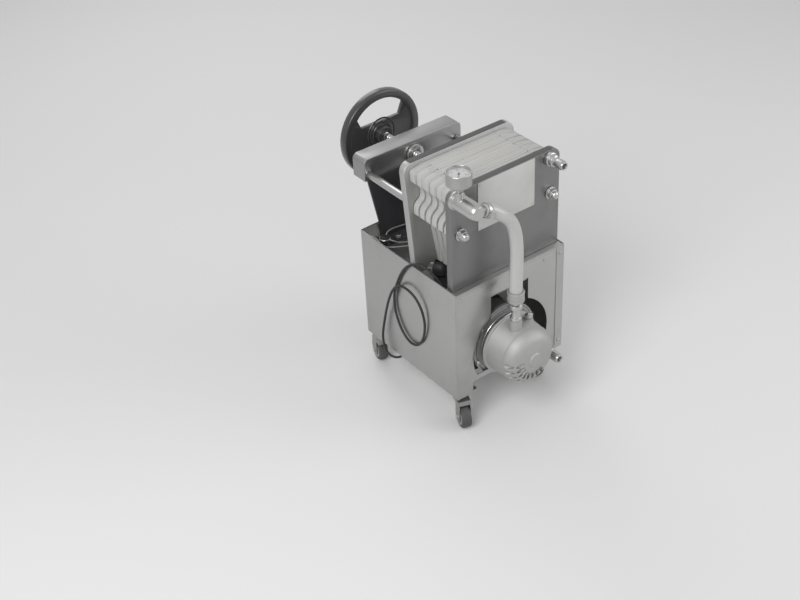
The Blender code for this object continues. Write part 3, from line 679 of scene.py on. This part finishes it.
GLAND_POINTS, PLUG_POINTS = 11, 14
SLEEVE_THICK, SLEEVE_THIN = 0.0048, 0.0031
cable_sleeve = sleeve("cord_strain_relief", cord_line[:GLAND_POINTS], SLEEVE_THICK, SLEEVE_THIN)
wear(cable_sleeve, cord_rubber.material, "trolley")
plug_sleeve = sleeve("plug_strain_relief", cord_line[:-PLUG_POINTS - 1:-1], SLEEVE_THICK, SLEEVE_THIN)
wear(plug_sleeve, cord_rubber.material, "trolley")

# %% [markdown]
# ## Trolley
#
# Folded sheet has small round edges and one lapped seam: the right wall turns round the corner and
# covers the front panel by twenty millimetres. Pan-head screws hold the tray and the seam. The
# sheets are dressed copies, so the cut edges of the keyhole catch light as real ones do.

# %% Trolley sheets
for sheet in ("trolley_wrap", "front_panel"):
    dressed(sheet, sheet_steel, 0.0003, 2, whole_faces=False)
dressed("base_plate", tray_steel, 0.0004, 2)
dressed("drip_tray", tray_steel, 0.0004, 2)

SEAM_WIDTH, SEAM_PROUD = 0.020, 0.0009
seam = block("corner_seam", (panel_high.x - SEAM_WIDTH, FRONT - SEAM_PROUD, panel_low.z + 0.001),
             (panel_high.x - 0.0002, FRONT - 0.0001, panel_high.z - 0.0015), 0.0003)
wear(seam, sheet_steel.material, "trolley")
lip = block("panel_lip", (panel_low.x + 0.004, FRONT - 0.0008, panel_high.z - 0.0090),
            (panel_high.x - SEAM_WIDTH - 0.0006, FRONT - 0.0001, panel_high.z - 0.0012), 0.0003)
wear(lip, sheet_steel.material, "trolley")
print("seam covers", SEAM_WIDTH, "of the front panel")

# %% [markdown]
# ## Tray drain
#
# A dark knob closes the drain in the rear left corner of the tray. A bright ring stands round it,
# and bent wires run along the tray beside it, one of them up to the rim. A wire is a bevelled
# curve through a few points, made a mesh at once, because it is stiff and never moves.

# %% Tray drain
KNOB = (-0.108, 0.269, 0.0)
TRAY_SHEET = 0.002
tray_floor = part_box("drip_tray")[0].z + TRAY_SHEET
knob_shape = [(0.0110, 0.0), (0.0110, 0.0030), (0.0060, 0.0050), (0.0060, 0.0160), (0.0088, 0.0180),
              (0.0094, 0.0270), (0.0080, 0.0305), (0.0040, 0.0315)]
knob = lathe("drain_knob", knob_shape, world(KNOB) + Vector((0, 0, tray_floor)))
wear(knob, black_plastic.material, "trolley")
collar_shape = [(0.0098, 0.0), (0.0112, 0.0), (0.0119, 0.0007), (0.0119, 0.0019), (0.0112, 0.0026),
                (0.0098, 0.0026)]
collar = lathe("drain_collar", collar_shape, world(KNOB) + Vector((0, 0, 0.3290)), pipe=True)
wear(collar, chrome.material, "trolley")


def bent_wire(name, points, radius=0.0014):
    line = [world(point) for point in smooth_route(points, 6)]
    hold(tube(name, line, radius, 3))
    bpy.ops.object.convert(target="MESH")
    return wear(settle(bpy.context.object, 50.0), chrome.material, "trolley")


DRAIN_WIRES = {
    "drain_wire_rim": [(-0.1340, 0.2985, 0.3380), (-0.1320, 0.2900, 0.3370), (-0.1265, 0.2780, 0.3350),
                       (-0.1270, 0.2640, 0.3340), (-0.1270, 0.2520, 0.3300), (-0.1160, 0.2460, 0.3230),
                       (-0.0950, 0.2330, 0.3220), (-0.0620, 0.2150, 0.3220)],
    "drain_wire_low": [(-0.1040, 0.2590, 0.3300), (-0.0980, 0.2530, 0.3270), (-0.0840, 0.2440, 0.3220),
                       (-0.0560, 0.2310, 0.3220)],
    "drain_wire_high": [(-0.0990, 0.2760, 0.3300), (-0.0920, 0.2810, 0.3330), (-0.0760, 0.2830, 0.3340),
                        (-0.0440, 0.2790, 0.3330)],
}
for name, points in DRAIN_WIRES.items():
    bent_wire(name, points)
print(len(DRAIN_WIRES), "drain wires")

# %% [markdown]
# ## Trolley screws
#
# Two screws show near the top of the front panel, two hold the seam, and four hold the back. The
# places are collected first, each with the direction that its head faces, and one loop fits them.

# %% Trolley screws
wrap_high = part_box("trolley_wrap")[1]
screw_spots = []
for x in (-0.128, 0.088):
    screw_spots.append((world((x, -0.0001, 0.3280)), "-Y"))
for z in (0.105, 0.325):
    screw_spots.append((world((0.130, -SEAM_PROUD, z)), "-Y"))
for x in (-0.118, 0.118):
    for z in (0.100, 0.325):
        screw_spots.append(((SIDE + x, wrap_high.y, z), "Y"))
for number, (spot, axis) in enumerate(screw_spots, 1):
    wear(pan_screw("trolley_screw_%02d" % number, spot, axis), chrome.material, "trolley")
print(number, "trolley screws")

# %% [markdown]
# ## Castors
#
# A castor is a pressed fork that swivels under the corner, and a wheel with a hard hub and a grey
# tyre. The fork and wheel are dressed copies. The hub discs, the axle's nut and the ball race are
# added, each on the body that it turns with.

# %% Castors
HUB_FACE, NUT_SEAT, RACE_FOOT = 0.0098, 0.0134, 0.0738


def castor_details(place):
    fork, wheel = "castor_fork_" + place, "castor_wheel_" + place
    dressed(fork, dull_zinc, 0.0006, 2)
    dressed(wheel, tread_rubber, 0.0008, 3, angle=20.0)
    joints = {joint["name"]: joint for joint in frame["joints"]}
    pivot = Vector(joints["swivel_" + place]["pos_m"])
    hub = Vector(joints["spin_" + place]["pos_m"])
    axle = Vector(joints["spin_" + place]["axis"]).normalized()
    for side in (-1, 1):
        outward = axle * side
        aim = outward.to_track_quat("Z", "Y").to_euler()
        label = "_inner" if side < 0 else "_outer"
        disc = lathe("castor_hub_" + place + label, [(0.0182, 0.0), (0.0182, 0.0006), (0.0150, 0.0012),
                     (0.0120, 0.0004), (0.0070, 0.0004), (0.0062, 0.0022)], hub + outward * HUB_FACE,
                     steps=40, turned=aim)
        wear(disc, hub_grey.material, "wheel_" + place)
        nut = lathe("castor_nut_" + place + label, [(0.0052, 0.0), (0.0052, 0.0024), (0.0044, 0.0030)],
                    hub + outward * NUT_SEAT, steps=6, turned=aim)
        wear(nut, chrome.material, "fork_" + place)
    race_shape = [(0.0150, 0.0), (0.0168, 0.0008), (0.0168, 0.0024), (0.0150, 0.0034)]
    race = lathe("castor_race_" + place, race_shape, (pivot.x, pivot.y, RACE_FOOT), steps=40)
    wear(race, chrome.material, "fork_" + place)


CORNERS = ("front_left", "front_right", "rear_left", "rear_right")
for place in CORNERS:
    castor_details(place)
print(len(CORNERS), "castors dressed")

# %% [markdown]
# ## Motor
#
# The motor is seen through the keyhole and the rear window. Its housing has cooling fins along it:
# one thin block is modelled, and copies are turned round the shaft, leaving out those that would
# run into the foot and the terminal box.

# %% Motor
motor_axis = world((-0.014, 0.0, 0.180))
dressed("motor_body", motor_paint, 0.0012, 2)
dressed("fan_cover", black_plastic, 0.0010, 2)
dressed("terminal_box", black_plastic, 0.0)
dressed("cord_gland", black_plastic, 0.0005, 2)
dressed("switch_rocker", black_plastic, 0.0)
dressed("pump_rotor", dull_zinc, 0.0006, 2)

fin = block("fin", (-0.0010, FRONT + 0.074, 0.0570), (0.0010, FRONT + 0.190, 0.0650), 0.0006)
fins = []
FOOT_HALF_ANGLE, BOX_HALF_ANGLE, FIN_STEP = 60, 50, 10
for angle in range(0, 360, FIN_STEP):
    over_foot = abs(angle - 180) < FOOT_HALF_ANGLE
    under_box = angle < BOX_HALF_ANGLE or angle > 360 - BOX_HALF_ANGLE
    if over_foot or under_box:
        continue
    twin = copy_of(fin, "fin_%03d" % angle)
    twin.rotation_euler = (0.0, math.radians(angle), 0.0)
    twin.location = (motor_axis.x, 0.0, motor_axis.z)
    fins.append(settle(twin))
bpy.data.objects.remove(fin)
print(len(fins), "cooling fins")
wear(merged("motor_fins", fins), motor_paint.material, "trolley")

# %% [markdown]
# ## Terminal box
#
# The box on the motor has a lid with a screw in each corner. A raised band round the box stands for
# the joint of the lid, which is enough on a piece that is only seen through the openings.

# %% Terminal box
LID_INSET = 0.007
box_low, box_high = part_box("terminal_box")
lid_corners = [(x, y) for x in (box_low.x + LID_INSET, box_high.x - LID_INSET)
               for y in (box_low.y + LID_INSET, box_high.y - LID_INSET)]
for number, (x, y) in enumerate(lid_corners, 1):
    screw = pan_screw("terminal_screw_%d" % number, (x, y, box_high.z - 0.0001), "Z", 0.0030, 0.0016)
    wear(screw, chrome.material, "trolley")
band = block("terminal_lid", (box_low.x - 0.0006, box_low.y - 0.0006, box_high.z - 0.0062),
             (box_high.x + 0.0006, box_high.y + 0.0002, box_high.z - 0.0047), 0.0004)
wear(band, black_plastic.material, "trolley")
print(number, "lid screws")

# %% [markdown]
# ## Pump
#
# The pump is a bead-blasted casting with a rim that was machined bright after casting, and a soft
# ridge where its cover meets the body. Bolts round the back hold it to the flange of the motor
# bracket, on which the lathe has left three brighter rings. Rings are lathe pipes, so they are
# hollow.

# %% Pump
RIM_LEVEL, RIDGE_LEVEL, BOLT_CIRCLE, BOLT_LEVEL = -0.0085, -0.0590, 0.0753, 0.0055
FLANGE_RINGS = ((0.0785, 0.0060), (0.0720, 0.0053), (0.0590, 0.0040))
dressed("pump_adapter", iron_ring, 0.0008, 2)
dressed("pump_body", cast_metal, 0.0008, 3)
dressed("pump_cover", cast_metal, 0.0009, 3, smooth=45.0)
rim = lathe("pump_rim", [(0.0660, 0.0), (0.0684, 0.0), (0.0690, 0.0006), (0.0690, 0.0024), (0.0684, 0.0030),
            (0.0660, 0.0030)], motor_axis + Vector((0, RIM_LEVEL, 0)), "-Y", 96, pipe=True)
wear(rim, chrome.material, "trolley")
ridge = lathe("pump_ridge", [(0.0590, 0.0), (0.0612, 0.0004), (0.0616, 0.0012), (0.0612, 0.0020),
              (0.0590, 0.0024)], motor_axis + Vector((0, RIDGE_LEVEL, 0)), "-Y", 96, pipe=True)
wear(ridge, cast_metal.material, "trolley")
for number, (radius, level) in enumerate(FLANGE_RINGS, 1):
    ring = lathe("flange_ring_%d" % number, [(radius - 0.0011, 0.0), (radius - 0.0006, 0.0010),
                 (radius + 0.0006, 0.0010), (radius + 0.0011, 0.0)],
                 motor_axis + Vector((0, level, 0)), "-Y", 96, pipe=True)
    wear(ring, chrome.material, "trolley")
for number, angle in enumerate(range(20, 380, 60), 1):
    spoke = Vector((math.cos(math.radians(angle)), 0.0, math.sin(math.radians(angle))))
    spot = motor_axis + spoke * BOLT_CIRCLE + Vector((0, BOLT_LEVEL, 0))
    bolt = hex_bolt("flange_bolt_%d" % number, spot, "-Y", 0.0070, 0.0055, 0.0047)
    wear(bolt, chrome.material, "trolley")
print(number, "flange bolts and", len(FLANGE_RINGS), "rings")

# %% [markdown]
# ## Pump fittings
#
# The priming plug, suction tail and discharge port are polished. The union nut under the hose is
# cast, with a bead round each end for the hand. A bead is a thin lathe pipe slightly wider than the
# nut.

# %% Pump fittings
dressed("priming_plug", chrome, 0.0005, 2)
dressed("suction_barb", chrome, 0.0004, 2)
dressed("discharge_port", chrome, 0.0004, 2)
dressed("hose_union_nut", cast_metal, 0.0008, 2)
port = world((-0.027, -0.045, 0.0))
BEAD_INSET, BEAD_HEIGHT = 0.0030, 0.0028
nut_low, nut_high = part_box("hose_union_nut")
nut_radius = (nut_high.x - nut_low.x) / 2
for number, height in enumerate((nut_low.z + BEAD_INSET, nut_high.z - BEAD_INSET), 1):
    bead = lathe("union_bead_%d" % number, [(nut_radius - 0.0004, 0.0), (nut_radius + 0.0007, 0.0007),
                 (nut_radius + 0.0007, 0.0021), (nut_radius - 0.0004, BEAD_HEIGHT)],
                 port + Vector((0, 0, height - BEAD_HEIGHT / 2)), steps=64, pipe=True)
    wear(bead, cast_metal.material, "trolley")
print(number, "beads on the union nut")

# %% [markdown]
# ## Hose
#
# A thick milky hose carries the wine from the pump up to the head. It is stiff and clamped at both
# ends, so it is a fixed tube and not a free cord. The tube is smooth, and its wall is a little
# cloudy, which the material gives by a small amount of light under the skin.

# %% Hose
BARREL = Vector((-0.122, -0.037, 0.548))
HOSE_SLOPE = math.radians(-20.0)
hose_aim = Vector((math.cos(HOSE_SLOPE), 0.0, math.sin(HOSE_SLOPE)))
hose_route = [BARREL + hose_aim * 0.0233, BARREL + hose_aim * 0.0413, (-0.0630, -0.0430, 0.5190),
              (-0.0420, -0.0450, 0.4970), (-0.0300, -0.0450, 0.4660), (-0.0255, -0.0450, 0.4250),
              (-0.0262, -0.0450, 0.3800), (-0.0270, -0.0450, 0.3400), (-0.0270, -0.0450, 0.3120)]
hose_line = [world(point) for point in smooth_route(hose_route, 8)]
HOSE_RADIUS = 0.0130
hose = tube("delivery_hose", hose_line, HOSE_RADIUS, 12)
hold(hose)
bpy.ops.object.convert(target="MESH")
hose = settle(bpy.context.object, 40.0)
wear(hose, hose_skin.material, "trolley")
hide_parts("hose")

dressed("hose_clamp", chrome, 0.0003, 2)
clamp_spot = world(BARREL + hose_aim * 0.0315)
worm = lathe("clamp_worm", [(0.0034, 0.0), (0.0034, 0.0110), (0.0028, 0.0122)],
             clamp_spot + Vector((0, -HOSE_RADIUS - 0.0044, -0.006)), steps=24)
wear(worm, chrome.material, "trolley")
saddle = block("clamp_saddle", clamp_spot + Vector((-0.0042, -HOSE_RADIUS - 0.0056, -0.0045)),
               clamp_spot + Vector((0.0042, -HOSE_RADIUS - 0.0010, 0.0045)), 0.0008)
wear(saddle, chrome.material, "trolley")
print("hose tube of", len(hose.data.polygons), "faces")

# %% [markdown]
# ## Heads, rods and yoke
#
# The two heads are thick plates with a ground face. The fixed one carries a label plate, which is
# left bare. Polished rods run back from it to the yoke, through the moving head, and domed nuts
# close their front ends.

# %% Heads, rods and yoke
dressed("fixed_head", fixed_head_painted_dark, 0.0010, 3)
dressed("moving_head", moving_head_painted_light, 0.0010, 3)
dressed("label_plate", blank_label, 0.0003, 2)
dressed("yoke_crossbar", bar_steel, 0.0008, 3)
# The column's near-black colour is a painted dark reflection.
dressed("yoke_column", dark_paint, 0.0006, 2)
dressed("screw_nut", chrome, 0.0006, 2)
dressed("inlet_barrel", chrome, 0.0006, 2)
dressed("outlet_barb", chrome, 0.0004, 2)
for side in ("left", "right"):
    dressed("tie_rod_" + side, chrome, 0.0004, 2)
    dressed("acorn_nut_" + side, chrome, 0.0005, 3)
    dressed("rear_nut_" + side, chrome, 0.0004, 2)

RIVET_INSET = 0.005
label_low, label_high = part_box("label_plate")
corners = [(x, z) for x in (label_low.x + RIVET_INSET, label_high.x - RIVET_INSET)
           for z in (label_low.z + RIVET_INSET, label_high.z - RIVET_INSET)]
for number, (x, z) in enumerate(corners, 1):
    rivet = lathe("label_rivet_%d" % number, [(0.0018, 0.0), (0.0016, 0.0005), (0.0009, 0.0009)],
                  (x, label_low.y, z), "-Y", 20)
    wear(rivet, chrome.material, "trolley")
print(number, "label rivets")
foot_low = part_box("yoke_column")[0]
for number, x in enumerate((-0.062, 0.0, 0.062), 1):
    bolt = hex_bolt("yoke_bolt_%d" % number, (SIDE + x, foot_low.y + 0.010, foot_low.z + 0.0040), "Z")
    wear(bolt, chrome.material, "trolley")

# %% [markdown]
# ## Closing screw
#
# A plain rod would be wrong here, because the thread is what moves the head. The thread is a ridge
# round the core, and one turn of it takes six millimetres. A tooth profile is screwed up the axis,
# which gives a true helix that stays inside the rod's own radius, so it clears the nut.

# %% Closing screw
PITCH, CREST, ROOT = 0.006, 0.0079, 0.0064
screw_low, screw_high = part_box("closing_screw")
thread_start, thread_end = screw_low.y + 0.012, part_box("handwheel")[0].y - 0.002
bare()
bpy.ops.mesh.primitive_circle_add(vertices=5, radius=0.001, fill_type="NOTHING")
thread = bpy.context.object
thread.name = "screw_thread"
tooth = [(ROOT - 0.0006, 0.0), (ROOT, 0.0), (CREST, 0.0018), (CREST, 0.0038), (ROOT, PITCH - 0.0004)]
for point, (radius, rise) in zip(thread.data.vertices, tooth):
    point.co = (radius, 0.0, rise)
turns = int((thread_end - thread_start) / PITCH) - 1
fit_modifier(thread, "SCREW", angle=2 * math.pi * turns, screw_offset=PITCH * turns, steps=turns * 24,
             render_steps=turns * 24, use_merge_vertices=True, merge_threshold=0.00001)
enter(thread, "EDGE")
bpy.ops.mesh.select_all(action="DESELECT")
bpy.ops.mesh.select_non_manifold()
bpy.ops.mesh.edge_face_add()
bpy.ops.mesh.select_all(action="SELECT")
bpy.ops.mesh.normals_make_consistent(inside=False)
bare()
AXIS_Z = (screw_low.z + screw_high.z) / 2
thread.rotation_euler = STAND["Y"]
thread.location = (SIDE, thread_start, AXIS_Z)
settle(thread, 50.0)
core_end = screw_high.y
core = lathe("screw_core", [(0.0078, 0.0), (0.0080, 0.0006), (0.0080, 0.0115), (ROOT, 0.0125),
             (ROOT, thread_end - screw_low.y), (0.0080, thread_end - screw_low.y + 0.001),
             (0.0080, core_end - screw_low.y - 0.0012), (0.0068, core_end - screw_low.y)],
             (SIDE, screw_low.y, AXIS_Z), "Y", 48)
cap_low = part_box("handwheel")[1].y + 0.0003
cap = lathe("screw_cap", [(0.0128, 0.0), (0.0138, 0.0008), (0.0138, 0.0048), (0.0122, 0.0058)],
            (SIDE, cap_low, AXIS_Z), "Y", 6)
screw = merged("closing_screw_threaded", [core, thread, cap])
wear(screw, chrome.material, body_of["closing_screw"])
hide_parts("closing_screw")
print(turns, "turns of thread")

# %% [markdown]
# ## Handwheel
#
# The wheel is one black moulding: a thick round rim with a web that leaves two D-shaped windows,
# and a stepped hub. The solid has the right shape, and a bevel softens its edges.

# %% Handwheel
dressed("handwheel", wheel_black, 0.0012, 3, angle=25.0, smooth=50.0, whole_faces=False)
wheel_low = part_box("handwheel")[0]
HUB_STEP_LEVEL, HUB_STEP = 0.0171, 0.0033
for number, radius in enumerate((0.0335, 0.0225), 1):
    bead = lathe("wheel_bead_%d" % number, [(radius - 0.0020, 0.0), (radius - 0.0012, 0.0014),
                 (radius + 0.0012, 0.0014), (radius + 0.0020, 0.0)],
                 (SIDE, wheel_low.y + HUB_STEP_LEVEL - HUB_STEP * (number - 1), AXIS_Z), "-Y", 72, pipe=True)
    wear(bead, wheel_black.material, body_of["handwheel"])
print(number, "beads on the hub")

# %% [markdown]
# ## Filter pack
#
# Each plate is a white moulding with handles at its sides, and a sheet of filter board stands
# between each pair. On the top edge of every plate, near each end, stands a low pad. Its place is
# measured on the solid, because the plates lean a little more from one to the next.

# %% Filter pack
PLATES, SHEETS = 6, 5
PAD_NEAR, PAD_FAR, PAD_HALF = 0.084, 0.098, 0.0035
for number in range(1, PLATES + 1):
    node = "filter_plate_%d" % number
    dressed(node, plate_white, 0.0006, 2)
    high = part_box(node)[1]
    top_edge = [point.co.y for point in nodes[node].data.vertices if point.co.z > high.z - 0.001]
    middle = (min(top_edge) + max(top_edge)) / 2
    pieces = []
    for side in (-1, 1):
        edges = sorted((SIDE + side * PAD_NEAR, SIDE + side * PAD_FAR))
        pieces.append(block("pad", (edges[0], middle - PAD_HALF, high.z - 0.0004),
                            (edges[1], middle + PAD_HALF, high.z + 0.0009), 0.0006))
    wear(merged("plate_pads_%d" % number, pieces), plate_white.material, body_of[node])
for number in range(1, SHEETS + 1):
    dressed("filter_sheet_%d" % number, board, 0.0004, 2)
print(PLATES, "plates and", SHEETS, "sheets")

# %% [markdown]
# ## Pressure gauge
#
# A round steel case holds a pale dial under glass. The scale is generic: ticks round three quarters
# of a circle, and whole numbers. Text is turned into mesh before it is laid on the dial, because
# only a mesh can be exported with its place applied.

# %% Gauge case and glass
dressed("gauge_case", gauge_steel, 0.0006, 3)
dressed("gauge_dial", blank_label, 0.0)
dressed("gauge_needle", ink, 0.0002, 1)
dressed("gauge_lens", glass, 0.0002, 2)
case_low, case_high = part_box("gauge_case")
dial_low, dial_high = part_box("gauge_dial")
centre = (dial_low + dial_high) / 2
case_radius = (case_high.x - case_low.x) / 2
bezel_shape = [(case_radius + proud, rise) for proud, rise in
               ((-0.0023, 0.0), (0.0001, 0.0), (0.0001, 0.0040), (-0.0006, 0.0049), (-0.0018, 0.0049),
                (-0.0026, 0.0040))]
bezel = lathe("gauge_bezel", bezel_shape, (centre.x, centre.y, case_high.z - 0.0048), steps=72, pipe=True)
wear(bezel, gauge_steel.material, "trolley")
print("gauge case radius", round(case_radius, 4))

# %% [markdown]
# ## Gauge scale
#
# Each tick is a thin block made along +X and turned to its angle, and every fourth one is longer
# and carries a number. All of them are joined into one piece, which rests on the dial.

# %% Gauge scale
SCALE_START, SCALE_SWEEP, MAJOR, MINOR = 225.0, 270.0, 5, 4
TICK_END, NUMERAL_RADIUS, NUMERAL_SIZE = 0.0198, 0.0128, 0.0052
marks = []
for index in range(MAJOR * MINOR + 1):
    major = index % MINOR == 0
    angle = math.radians(SCALE_START - SCALE_SWEEP * index / (MAJOR * MINOR))
    inner, wide = (0.0165, 0.00042) if major else (0.0181, 0.00024)
    tick = block("tick", (inner, -wide, 0.0), (TICK_END, wide, 0.00016))
    tick.rotation_euler = (0.0, 0.0, angle)
    tick.location = (centre.x, centre.y, dial_high.z)
    marks.append(settle(tick))
    if major:
        bare()
        bpy.ops.object.text_add(location=(0.0, 0.0, 0.0))
        digit = bpy.context.object
        digit.data.body = str(index // MINOR)
        digit.data.size = NUMERAL_SIZE
        digit.data.extrude = 0.00008
        digit.data.align_x = digit.data.align_y = "CENTER"
        bpy.ops.object.convert(target="MESH")
        digit = bpy.context.object
        digit.location = (centre.x + NUMERAL_RADIUS * math.cos(angle),
                          centre.y + NUMERAL_RADIUS * math.sin(angle), dial_high.z + 0.00009)
        marks.append(settle(digit))
print(len(marks), "ticks and numbers")
wear(merged("gauge_scale", marks), ink.material, "trolley")

# %% [markdown]
# ## Floor and light
#
# A plain pale floor carries the shadow. One large soft lamp stands above and to the left, a weaker
# one fills from the right, and the weakest stands behind and lifts the far edges.

# %% Floor and light
bare()
bpy.ops.mesh.primitive_plane_add(size=14.0, location=(0, 0, 0))
floor = bpy.context.object
floor.name = "floor"
floor_finish = Finish("floor", (0.76, 0.76, 0.76), 0.9)
floor_finish.tint(floor_finish.noise(2.0).band(0.3, 0.7) * 0.15, (0.78, 0.78, 0.78))
floor.data.materials.append(floor_finish.material)


def lamp(name, spot, aim, size, power):
    light = bpy.data.lights.new(name, "AREA")
    light.size = size
    light.energy = power
    stand = bpy.data.objects.new(name, light)
    bpy.context.scene.collection.objects.link(stand)
    stand.location = spot
    stand.rotation_euler = (Vector(aim) - Vector(spot)).to_track_quat("-Z", "Y").to_euler()
    return stand


lamp("key_lamp", (-2.0, -0.9, 2.3), (0, 0, 0.3), 1.4, 44.0)
lamp("fill_lamp", (1.9, -1.8, 1.5), (0, 0, 0.3), 1.6, 20.0)
lamp("back_lamp", (0.6, 2.2, 1.9), (0, 0, 0.3), 1.4, 12.0)
print(len(bpy.data.lights), "lamps")

# %% [markdown]
# ## Surroundings
#
# The world lights everything evenly at a plain level, so that colours render about as they are
# written. It is shown brighter to the camera, and in metal and glass, than it lights the machine,
# because the background should be pale without washing out the piece.

# %% World
world_light = bpy.data.worlds.new("studio")
bpy.context.scene.world = world_light
world_light.use_nodes = True
tree = world_light.node_tree
background = tree.nodes["Background"]
background.inputs["Color"].default_value = (0.80, 0.80, 0.80, 1.0)
LIGHT_LEVEL, SHOWN_LEVEL = 0.60, 0.85
rays = tree.nodes.new("ShaderNodeLightPath")
seen = rays.outputs["Is Camera Ray"]
for name in ("Is Glossy Ray", "Is Transmission Ray"):
    either = tree.nodes.new("ShaderNodeMath")
    either.operation = "MAXIMUM"
    tree.links.new(seen, either.inputs[0])
    tree.links.new(rays.outputs[name], either.inputs[1])
    seen = either.outputs[0]
level = tree.nodes.new("ShaderNodeMath")
level.operation = "MULTIPLY_ADD"
tree.links.new(seen, level.inputs[0])
level.inputs[1].default_value = SHOWN_LEVEL - LIGHT_LEVEL
level.inputs[2].default_value = LIGHT_LEVEL
tree.links.new(level.outputs[0], background.inputs["Strength"])
bpy.context.scene.view_settings.view_transform = "Standard"
